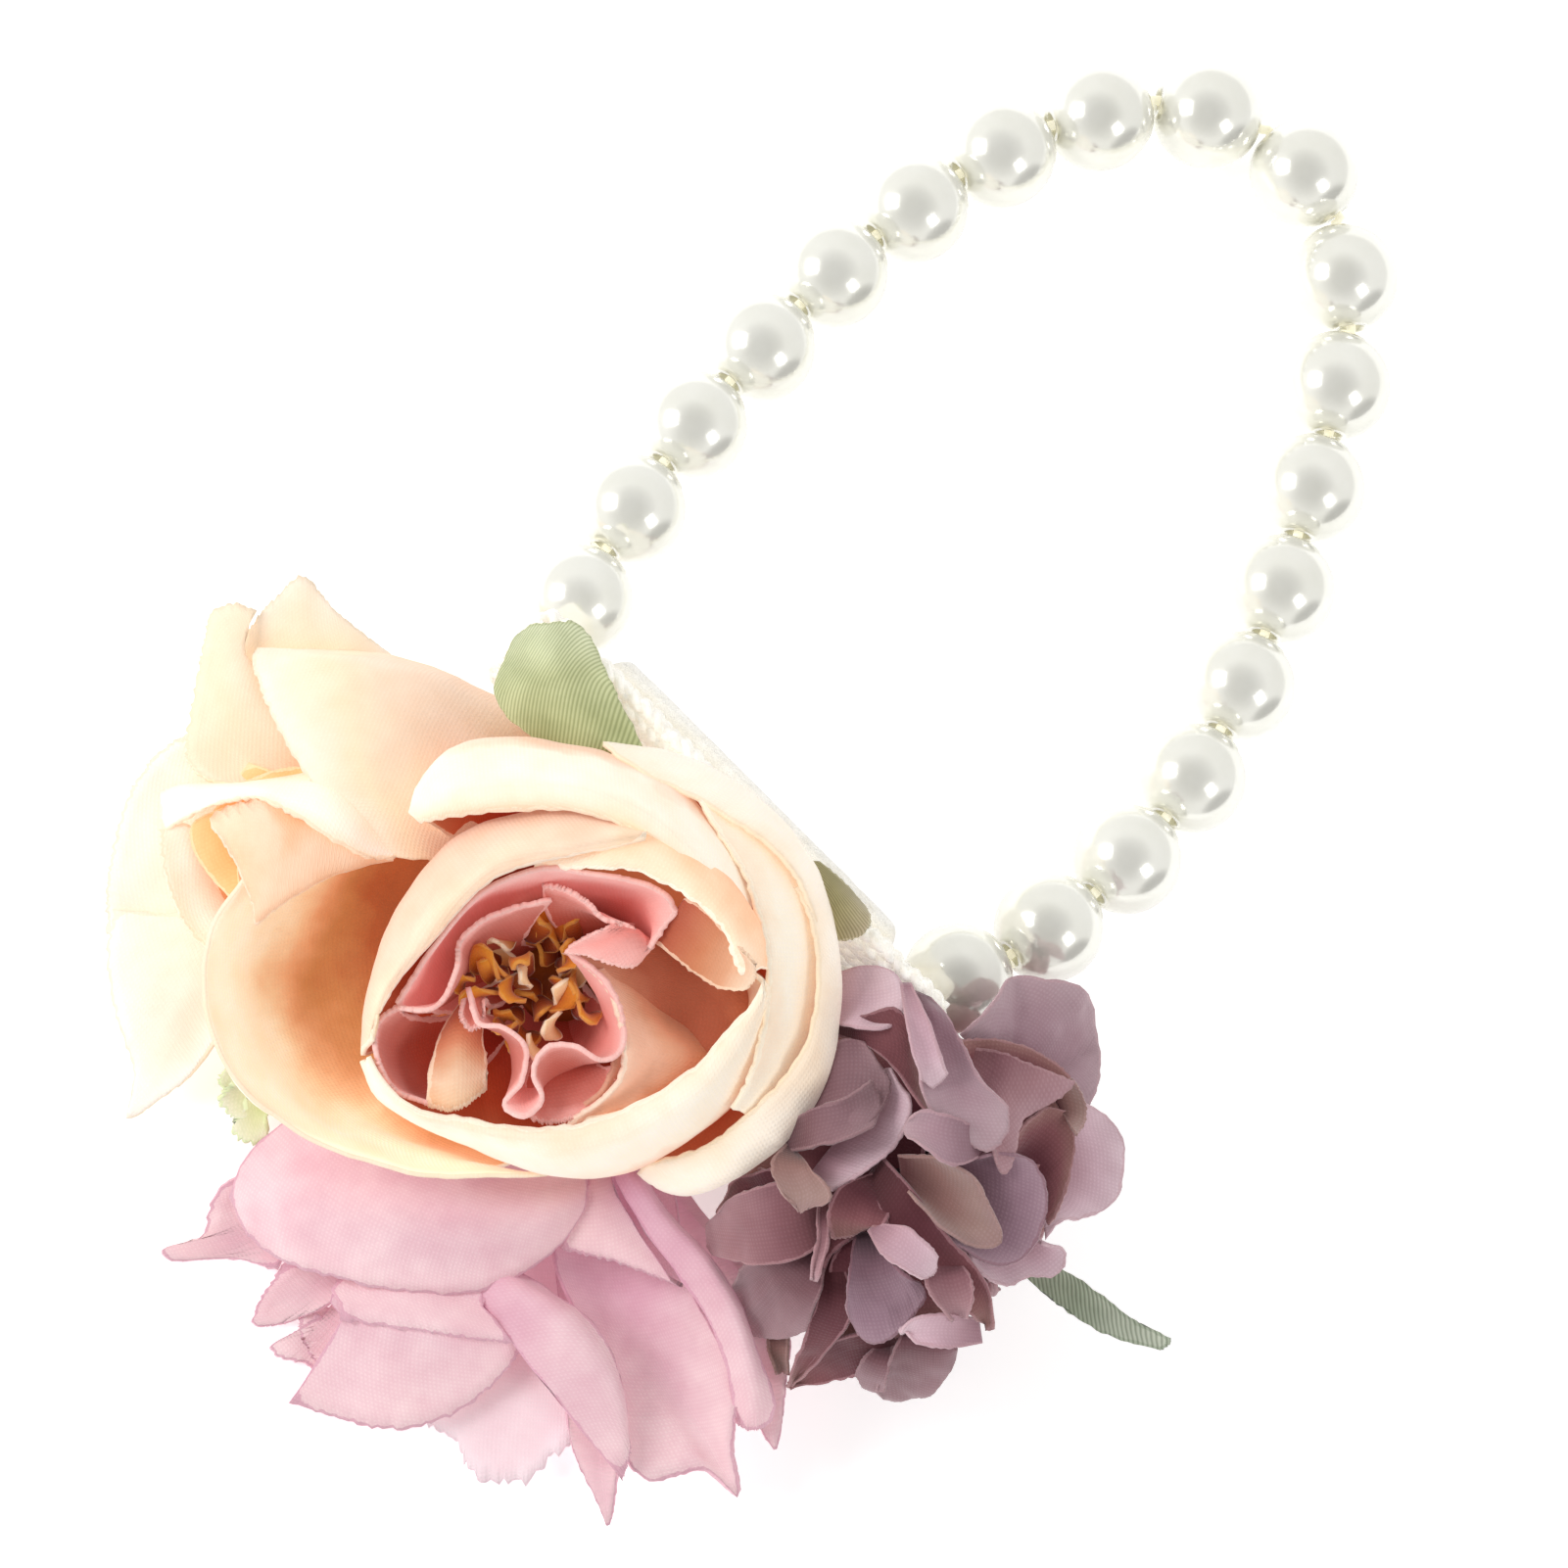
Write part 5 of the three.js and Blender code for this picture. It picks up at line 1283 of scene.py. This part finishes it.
# Petals that the photograph shows: floret, cloth, lift above the dome, and curves from foot to rim in
# pixels, where a third number lifts a point further
shown_petals = [
    # Dark ones under the others, in wine: painted shade
    (1, "wine", -34, [[(600, 800), (612, 810)], [(560, 770), (616, 748)],
                      [(532, 760), (548, 722), (612, 706)]]),
    (2, "wine", -34, [[(610, 800), (620, 806)], [(630, 750), (670, 780)],
                      [(630, 716), (672, 726), (698, 762)]]),
    (6, "wine", -34, [[(616, 806), (614, 814)], [(670, 796), (652, 832)],
                      [(690, 790), (690, 826), (668, 850)]]),
    (5, "wine", -34, [[(620, 812), (592, 818)], [(640, 846), (558, 850)],
                      [(646, 872), (610, 892), (562, 898)]]),
    (4, "wine", -34, [[(604, 800), (600, 788)], [(560, 806), (558, 768)],
                      [(503, 806), (511, 794), (523, 782), (536, 768)]]),
    (4, "wine", -34, [[(606, 816), (598, 800)], [(560, 846), (548, 800)],
                      [(556, 878), (524, 860), (508, 830), (516, 794)]]),
    # Top right
    (8, "blush", -30, [[(660, 742), (676, 752)],
                       [(634, 714, 4), (648, 702, 16), (662, 686, 30), (670, 679, 36), (686, 682, 34),
                        (702, 684, 26), (710, 690, 16), (716, 701), (719, 716), (720, 730), (718, 745),
                        (712, 759)]]),
    (8, "wine", -10, [[(656, 756), (676, 764)],
                      [(632, 718), (645, 717), (658, 718), (675, 722), (690, 730), (700, 738), (703, 745)]]),
    (8, "mauve", 0, [[(640, 722), (638, 740)], [(664, 726), (650, 764)],
                     [(704, 743), (697, 751), (688, 757), (676, 764), (671, 772), (668, 784), (664, 796),
                      (659, 797), (655, 784)]]),
    (8, "beige", -2, [[(690, 750), (696, 762)],
                      [(702, 742), (708, 750), (711, 758), (710, 766), (705, 774)]]),
    # Right
    (7, "wine", -12, [[(664, 800), (678, 814)],
                      [(670, 774), (678, 764), (690, 758), (700, 762), (704, 775), (703, 790), (699, 806),
                       (694, 820), (688, 828)]]),
    (7, "pale", -26, [[(678, 784), (682, 800)],
                       [(709, 756), (720, 761), (728, 768), (733, 780), (733, 798), (730, 810), (722, 820),
                        (708, 825), (694, 828), (686, 838)]]),
    # Blue one with a beige fold
    (6, "slate", 0, [[(612, 790), (620, 812)],
                     [(648, 788), (665, 786), (676, 789), (684, 798), (688, 812), (686, 826), (680, 840),
                      (670, 850), (657, 852), (645, 847), (632, 838)]]),
    (6, "beige", 8, [[(598, 786), (600, 802)],
                     [(630, 789), (642, 798), (651, 812), (657, 826), (660, 838), (650, 841), (636, 836),
                      (622, 826), (610, 813)]]),
    (6, "pale", -24, [[(640, 834), (670, 828)],
                       [(642, 850), (652, 862), (665, 865), (676, 860), (690, 860), (698, 853), (697, 844),
                        (684, 840)]]),
    # Long one with a fold down its left side
    (9, "blush", 14, [[(601, 686, 38), (618, 693, 38)], [(608, 716, 18), (620, 706, 30), (632, 711, 20)],
                     [(612, 742), (632, 738), (646, 738)],
                     [(616, 757), (626, 768), (638, 777), (648, 784), (657, 782), (664, 772), (664, 758)]]),
    (9, "pale", 26, [[(599, 684, 42), (606, 684, 42)], [(603, 706, 26), (615, 703, 26)],
                      [(608, 726, 12), (621, 724, 14)], [(612, 741), (619, 747), (627, 740)]]),
    (2, "blush", 13, [[(648, 772), (650, 786)], [(632, 763), (632, 793)], [(614, 760), (615, 785)],
                      [(605, 764), (600, 771), (606, 778)]]),
    # Top left, from under the rose
    (3, "wine", -4, [[(556, 706), (556, 714)], [(578, 702, 16), (580, 722)], [(598, 698, 30), (598, 738)],
                     [(611, 722), (614, 744), (620, 765)]]),
    (3, "pale", -8, [[(546, 688), (546, 704)], [(566, 676, 34), (566, 709, 16)],
                      [(584, 673, 44), (588, 712, 20)], [(597, 677, 40), (603, 692, 36), (598, 708, 26)]]),
    # Left, folded under the rose
    (4, "dusk", -4, [[(536, 742), (528, 782)], [(560, 720), (556, 779)], [(576, 718), (572, 773)],
                      [(588, 731), (594, 744), (590, 757), (582, 767)]]),
    (4, "dusk", 2, [[(532, 768), (528, 786)], [(548, 758), (550, 781)], [(566, 753), (570, 774)],
                     [(584, 743), (589, 754), (583, 767)]]),
    (1, "pale", -10, [[(546, 798), (562, 778), (580, 764), (588, 748), (588, 736)],
                       [(560, 810), (570, 804), (582, 795), (592, 786), (600, 775), (606, 762), (606, 752),
                        (601, 743), (594, 734)]]),
    (4, "beige", 6, [[(531, 780), (538, 786)], [(522, 792), (548, 797)], [(525, 805), (557, 810)],
                     [(532, 818), (552, 817)]]),
    (10, "wine", -18, [[(548, 796), (556, 812)], [(520, 794), (530, 818)], [(497, 806), (484, 832)]]),
    (10, "mauve", -10, [[(558, 804), (556, 832)], [(532, 802), (544, 846)], [(506, 808), (516, 853)],
                        [(491, 818), (483, 834), (490, 847)]]),
    (10, "mauve", -2, [[(550, 812), (558, 816)], [(548, 836), (557, 838)], [(545, 850), (552, 856)],
                       [(546, 861), (549, 862)]]),
    (10, "dusk", -16, [[(546, 838), (556, 846)], [(522, 844), (552, 868)],
                        [(503, 856), (497, 872), (500, 887), (510, 896), (530, 897), (543, 892)]]),
    # Bottom left
    (11, "wine", -20, [[(554, 838), (564, 846)], [(550, 870), (571, 874)], [(541, 898), (564, 894)],
                       [(531, 926), (535, 926)]]),
    (11, "wine", -26, [[(600, 890), (604, 904)], [(578, 892), (586, 915)], [(558, 900), (558, 923)],
                       [(532, 924), (534, 928)]]),
    (11, "beige", -22, [[(520, 890), (533, 892)], [(520, 904), (532, 908)], [(527, 918), (531, 919)]]),
    # Middle, round the dark hole
    (5, "wine", -8, [[(586, 796), (600, 806)], [(562, 806), (592, 824)], [(556, 822), (588, 830)],
                     [(559, 837), (570, 835), (583, 829)]]),
    (5, "slate", -4, [[(572, 832), (584, 834)], [(568, 858), (600, 856)],
                      [(568, 878), (571, 889), (581, 898), (595, 895), (606, 885), (615, 873), (612, 864)]]),
    (5, "pale", 14, [[(580, 832), (585, 827)], [(587, 844), (603, 829)], [(602, 856), (617, 841)],
                      [(612, 861), (620, 857), (622, 848)]]),
    (12, "wine", -6, [[(588, 786), (580, 800)], [(606, 806), (590, 826)], [(626, 832), (606, 850)],
                       [(642, 848), (626, 870)], [(652, 868), (640, 880)], [(656, 891), (646, 886)]]),
    (12, "mauve", 4, [[(618, 842), (630, 846)], [(614, 862), (641, 858)], [(622, 876), (643, 874)],
                      [(632, 884), (638, 884)]]),
    # Bottom
    (12, "pale", 0, [[(646, 884), (648, 899)], [(626, 881), (630, 902)], [(610, 884), (612, 899)],
                      [(600, 889), (602, 893)]]),
    (11, "dusk", -14, [[(604, 884), (620, 884)], [(596, 902), (632, 902)],
                        [(589, 930), (591, 935), (606, 935), (620, 928), (630, 914), (634, 902)]]),
    (11, "dusk", -20, [[(588, 896), (596, 900)], [(578, 908), (594, 912)],
                       [(572, 918), (580, 925), (592, 927)]]),
]

# Their dome and cups, in pixels
dome_middle = (615, 805)
dome_radius = 132
dome_share = 0.72
dome_depth = 34
foot_drop = 12
petal_belly = 9
petal_cup = 9
shown_columns = 40
shown_rows = 24
shown_wrinkle = 0.8 * MM
shown_fray = 0.09 * MM


def on_dome(x, y, lift=0):
    across, down = x - dome_middle[0], y - dome_middle[1]
    height = math.sqrt(max(dome_radius**2 - across**2 - down**2, 0))
    return at_pixel(x, y, dome_depth + dome_share * height + lift)


def shown_petal(lift, curves):
    """Grid of a cupped petal whose foot is sunk into the dome"""
    heights = [lift - foot_drop] + [lift + petal_belly] * (len(curves) - 2) + [lift]
    lines = []
    for height, curve in zip(heights, curves):
        lines.append([on_dome(*spot) + towards_camera * height * pixel for spot in curve])
    grid = loft(lines, shown_columns, shown_rows)
    for across, line in zip(both_ways(shown_columns), grid):
        for j, spot in enumerate(line):
            spot += towards_camera * petal_cup * pixel * across**2 * j / shown_rows
    return grid


# Petals of the florets that face away: ranges in degrees and in shares of the petal's length
petal_length = 7.4 * MM
petal_gap = 0.6 * MM
hidden_columns = 24
hidden_rows = 14
hidden_wrinkle = 0.5 * MM
hidden_fray = 0.05 * MM
hidden_drop = 1.5 * MM
hidden_tilt = 25
hidden_pixels = 101
lowest_elevation = -88
heading_range = (-10, 10)
tilt_range = (20, 50)
twist_range = (-22, 22)
length_range = (0.92, 1.14)
curl_range = (-0.5, 0.2)
curl_share = 0.25
cup_share = 0.1
width_share = 0.56
foot_phase = 0.06
rim_phase = 0.7
swell_power = 0.9
round_share = 0.22
round_power = 2.5
narrow_share = 0.12


def behind_dome(spot):
    """The spot drawn in so far that the camera doesn't see it beside the shown petals"""
    away = spot - at_pixel(*dome_middle)
    away -= towards_camera * away.dot(towards_camera)
    limit = hidden_pixels * pixel
    return spot + away * (math.tanh(away.length / limit) * limit / away.length - 1)


def turned(degrees, axis):
    return Matrix.Rotation(math.radians(degrees), 3, axis)


def flat_spot(across, along, length, curl):
    """Place on a petal that points along X, before it is twisted and tilted"""
    reach = length * along * (1 - round_share * abs(across) ** round_power * along)
    phase = min(foot_phase + rim_phase * along, 1)
    half = length * width_share * math.sin(math.pi * phase) ** swell_power
    side = half * across * (1 - narrow_share * along * along)
    return Vector((reach, side, length * (cup_share * across**2 * along + curl * curl_share * along**2)))


def hidden_petals(sheets, number, heading, elevation, turn, share):
    """Four petals of a floret that faces away from the camera"""
    elevation = max(elevation - hidden_tilt, lowest_elevation)
    spin = turned(heading, "Z") @ turned(90 - elevation, "Y") @ turned(turn, "Z")
    sunk = hidden_drop * (1 + math.sin(math.radians(elevation)))
    seat = hydrangea_middle - towards_camera * sunk + spin @ Vector((0, 0, floret_reach * share))
    shake = random.Random(number)
    for k in range(4):
        towards = 90 * k + shake.uniform(*heading_range)
        tilt = shake.uniform(*tilt_range)
        length = petal_length * shake.uniform(*length_range)
        curl = shake.uniform(*curl_range)
        twist = shake.uniform(*twist_range)
        grid = []
        for across in both_ways(hidden_columns):
            line = []
            for j in range(hidden_rows + 1):
                along = j / hidden_rows
                spot = turned(twist * along, "X") @ flat_spot(across, along, length, curl)
                spot = turned(-tilt * (1 + along) / 2, "Y") @ spot
                spot.x += petal_gap
                line.append(behind_dome(seat + spin @ (turned(towards, "Z") @ spot)))
            grid.append(line)
        sheets.add(grid, hidden_wrinkle, hidden_fray, number * 4 + k)


def add_floret(number, place):
    name = f"hydrangea_floret_{number:02d}"
    for cloth, look in hydrangea_cloths.items():
        sheets = Sheets()
        for k, (floret, petal_cloth, lift, curves) in enumerate(shown_petals):
            if floret == number and petal_cloth == cloth:
                sheets.add(shown_petal(lift, curves), shown_wrinkle, shown_fray, k)
        if cloth == "mauve" and number > seen_florets:
            hidden_petals(sheets, number, *place)
        if sheets.points:
            sheets.build(f"{name}_{cloth}", name, "mauve_fabric", look, look, floret_thickness)


for number, place in enumerate(florets):
    add_floret(number + 1, place)

glue_spot = Vector((12, -5.3, 0)) * MM
hydrangea_sides = 12
hydrangea_stem_radius = 1.3 * MM
stalk_radius = 0.6 * MM
knob_radius = 4.8 * MM
knob_end_radius = 0.1 * MM
knob_steps = 20


def add_hydrangea_stem():
    """Stem from the glue bed to a knob, with a stalk to each floret that faces away. The knob's near black
    colour is painted shade in the gap between the florets
    """
    strands = Tubes(hydrangea_sides)
    strands.add([glue_spot, hydrangea_middle], hydrangea_stem_radius)
    way = (hydrangea_middle - glue_spot).normalized()
    angles = [math.pi * k / knob_steps for k in range(knob_steps + 1)]
    route = [hydrangea_middle - way * knob_radius * math.cos(angle) for angle in angles]
    strands.add(route, [max(knob_radius * math.sin(angle), knob_end_radius) for angle in angles])
    for heading, elevation, _, share in florets[seen_florets:]:
        out = Vector((1, 0, 0))
        out.rotate(Euler((0, -math.radians(elevation), math.radians(heading))))
        strands.add([hydrangea_middle, hydrangea_middle + out * floret_reach * share], stalk_radius)
    strands.build("hydrangea_stalks", FLOWERS, "hydrangea_stem", "stem", knob_painted_shade)


add_hydrangea_stem()

# Leaves: curves from foot to tip in pixels
leaf_thickness = 0.4 * MM
leaf_wrinkle = 0.2 * MM
leaf_fray = 0.12 * MM
leaf_columns = 30
leaf_rows = 30
leaf_foot_share = 0.1
sprig_wrinkle = 0.9 * MM
sprig_fray = 0.3 * MM
sprig_rows = 20
top_foot = (428, 566, 98)
top_curves = [
    [(386, 542, 100), (412, 550, 106), (446, 548, 98)],
    [(358, 515, 96), (394, 512, 108), (430, 512, 96)],
    [(364, 490, 94), (392, 490, 108), (420, 492, 94)],
    [(370, 477, 94), (380, 470, 98), (392, 469, 100), (404, 469, 98), (413, 478, 94)],
]
right_foot = (528, 640, 92)
right_curves = [
    [(545, 611, 92), (552, 632, 98), (556, 657, 90)],
    [(562, 621, 92), (567, 639, 98), (568, 658, 90)],
    [(577, 638, 92), (582, 647, 95), (577, 655, 92)],
]
blade_foot = (655, 838, -6)
blade_curves = [
    [(676, 861, 0), (686, 857, 4), (695, 856, 0)],
    [(700, 881, 6), (708, 874, 9), (715, 868, 6)],
    [(726, 896, 10), (733, 889, 12), (739, 886, 10)],
    [(756, 904, 12), (761, 901, 13), (762, 898, 12)],
]
sprig_foot = (256, 768, 14)
leaflet_curves = [[(232, 752, 12), (236, 764, 14)], [(216, 744, 14), (222, 762, 16)]]
leaflet_rims = [
    [(206, 726, 10), (194, 734, 12), (192, 746, 12), (202, 752, 14)],
    [(200, 742, 16), (192, 752, 14), (198, 764, 14), (212, 764, 14)],
    [(206, 760, 12), (200, 772, 10), (210, 780, 10), (222, 774, 12)],
]


def add_leaf(name, foot, table, cloth, rows=leaf_rows, wrinkle=leaf_wrinkle, fray=leaf_fray):
    add_petals(f"{name}_cloth", name, "leaf_fabric", foot, table, cloth, cloth, leaf_thickness, leaf_columns,
               rows, leaf_foot_share, wrinkle=wrinkle, fray=fray)


add_leaf("top_leaf", top_foot, [top_curves], leaf_cloth)
add_leaf("right_leaf", right_foot, [right_curves], shaded_leaf)
add_leaf("green_sprig", sprig_foot, [[*leaflet_curves, rim] for rim in leaflet_rims], sprig_cloth,
         sprig_rows, sprig_wrinkle, sprig_fray)
add_leaf("blade_leaf", blade_foot, [blade_curves], blade_cloth)

# Stamens of the main rose: places and spreads in pixels, sizes in metres, shares of a lobe's length
stamen_root = (388, 690, 62)
stamen_middle = (380, 678, 124)
nearest_lobe = 4
lobe_spread = 40
height_range = (-18, 14)
lobe_count = 34
lobe_turn = 2.4
lobe_columns = 6
lobe_rows = 10
lobe_thickness = 0.3 * MM
lobe_wrinkle = 0.15 * MM
lobe_fray = 0.02 * MM
shortest_lobe = 2.8
longest_lobe = 4.2
lift_range = (0.4, 1.1)
half_width_range = (0.8, 1.25)
lobe_curl_range = (0.2, 0.9)
lobe_start_share = 0.7
lobe_foot_share = 0.35
lobe_foot_phase = 0.1
lobe_rim_phase = 0.75
stamen_seed = 5
cream_every = 4
lobe_round_share = 0.2
lobe_cup_share = 0.7
heart_sides = 16
heart_length = 2.5 * MM
heart_radii = [1.2 * MM, 3.4 * MM, 1.4 * MM]


def stamen_lobe(k, root, shake):
    """Grid of a curled lobe"""
    angle = lobe_turn * k
    spread = nearest_lobe + lobe_spread * math.sqrt(k / lobe_count)
    x = stamen_middle[0] + spread * math.cos(angle)
    y = stamen_middle[1] + spread * math.sin(angle)
    tip = at_pixel(x, y, stamen_middle[2] + shake.uniform(*height_range))
    way = (tip - root).normalized()
    side = way.cross(Vector([shake.uniform(-1, 1) for _ in range(3)])).normalized()
    lift = side.cross(way)
    way = (way + lift * shake.uniform(*lift_range)).normalized()
    length = shake.uniform(shortest_lobe, longest_lobe) * MM
    half = shake.uniform(*half_width_range) * MM
    curl = shake.uniform(*lobe_curl_range) * length
    start = tip - way * length * lobe_start_share
    grid = []
    for across in both_ways(lobe_columns):
        line = []
        for j in range(lobe_rows + 1):
            along = j / lobe_rows
            phase = min(lobe_foot_phase + lobe_rim_phase * along, 1)
            width = half * (lobe_foot_share + (1 - lobe_foot_share) * math.sin(math.pi * phase))
            spot = start + way * length * along * (1 - lobe_round_share * across * across * along)
            spot += side * across * width
            line.append(spot - lift * (curl * along * along - width * lobe_cup_share * across * across))
        grid.append(line)
    return grid


def add_stamens():
    """Curled lobes of cream and amber cloth round a dark heart"""
    root = at_pixel(*stamen_root)
    shake = random.Random(stamen_seed)
    cream, amber = Sheets(), Sheets()
    for k in range(lobe_count):
        lobe = amber if k % cream_every else cream
        lobe.add(stamen_lobe(k, root, shake), lobe_wrinkle, lobe_fray, k)
    for name, sheets, look in (("cream", cream, cream_lobe), ("amber", amber, amber_lobe)):
        sheets.build(f"stamens_{name}", "main_rose_stamens", "stamen", look, look, lobe_thickness)
    heart = Tubes(heart_sides)
    heart.add([at_pixel(*main_hub), root, root + towards_camera * heart_length], heart_radii)
    heart.build("stamens_heart", FLOWERS, "main_rose_stamens", "stamen", heart_amber)


add_stamens()

# Floor and light: places in metres along the image's right, up and towards axes, powers in watts
floor_size = 2.0
floor_glow = 0.35
paper_roughness = 0.9
key_away = (-0.64, 0.25, 0.62)
key_size = 0.4
key_power = 3.6
window_away = (0.62, -0.34, 0.62)
window_width = 0.3
window_height = 0.36
window_power = 1.4
sky_greys = [(0.0, 1.0), (0.55, 1.0), (0.8, 0.62), (0.95, 0.42)]
doorway_range = (0.84, 0.93)
doorway_light = (0.88, 0.25)


def add_floor():
    mesh = bpy.data.meshes.new("floor")
    corners = [(-floor_size, -floor_size), (floor_size, -floor_size), (floor_size, floor_size),
               (-floor_size, floor_size)]
    mesh.from_pydata([(x, y, -table_drop) for x, y in corners], [], [(0, 1, 2, 3)])
    floor = bpy.data.objects.new("floor", mesh)
    scene.collection.objects.link(floor)
    paper = Paint("floor_paper", paper_roughness, Base_Color=white, Emission_Color=white,
                  Emission_Strength=floor_glow)
    mesh.materials.append(paper.material)


def add_light(name, away, width, height, power):
    """Softbox that looks at the corsage"""
    light = bpy.data.lights.new(name, "AREA")
    light.energy = power
    light.shape = "RECTANGLE"
    light.size = width
    light.size_y = height
    lamp = bpy.data.objects.new(name, light)
    way = image_right * away[0] + image_up * away[1] + towards_camera * away[2]
    lamp.location = at_pixel(*middle_pixel) + way
    lamp.rotation_mode = "QUATERNION"
    lamp.rotation_quaternion = way.to_track_quat("Z", "Y")
    scene.collection.objects.link(lamp)


def add_sky():
    """White room, greyer towards the camera, which hides the ceiling, and darker beyond the lower right"""
    world = bpy.data.worlds.new("studio")
    world.use_nodes = True
    nodes = Nodes(world.node_tree)
    direction = nodes.add("ShaderNodeTexCoord").outputs["Generated"]
    stops = [(position, (grey, grey, grey, 1)) for position, grey in sky_greys]
    greys = nodes.ramp(nodes.along_axis(direction, towards_camera), stops)
    doorway = nodes.along_axis(direction, (image_right - image_up).normalized())
    dark = nodes.add("ShaderNodeMapRange", {"Value": doorway}, From_Min=doorway_range[0],
                     From_Max=doorway_range[1], To_Min=doorway_light[0], To_Max=doorway_light[1])
    background = nodes.tree.nodes["Background"]
    nodes.fill((background.inputs["Color"], background.inputs["Strength"]), (greys, dark.outputs["Result"]))
    scene.world = world


add_floor()
add_light("key", key_away, key_size, key_size, key_power)
add_light("window", window_away, window_width, window_height, window_power)
add_sky()
scene.view_settings.view_transform = "Standard"


# CAD nodes that stay, with their materials
def dress(names, material):
    for name in names:
        node = bpy.data.objects[name]
        node.data.materials.clear()
        node.data.materials.append(material)


rose_stems = [f"{rose}_stem" for rose in ("main_rose", "side_rose", "pink_rose")]
dress(rose_stems, stem_plastic)
dress(["glue_bed"], glue_gel)
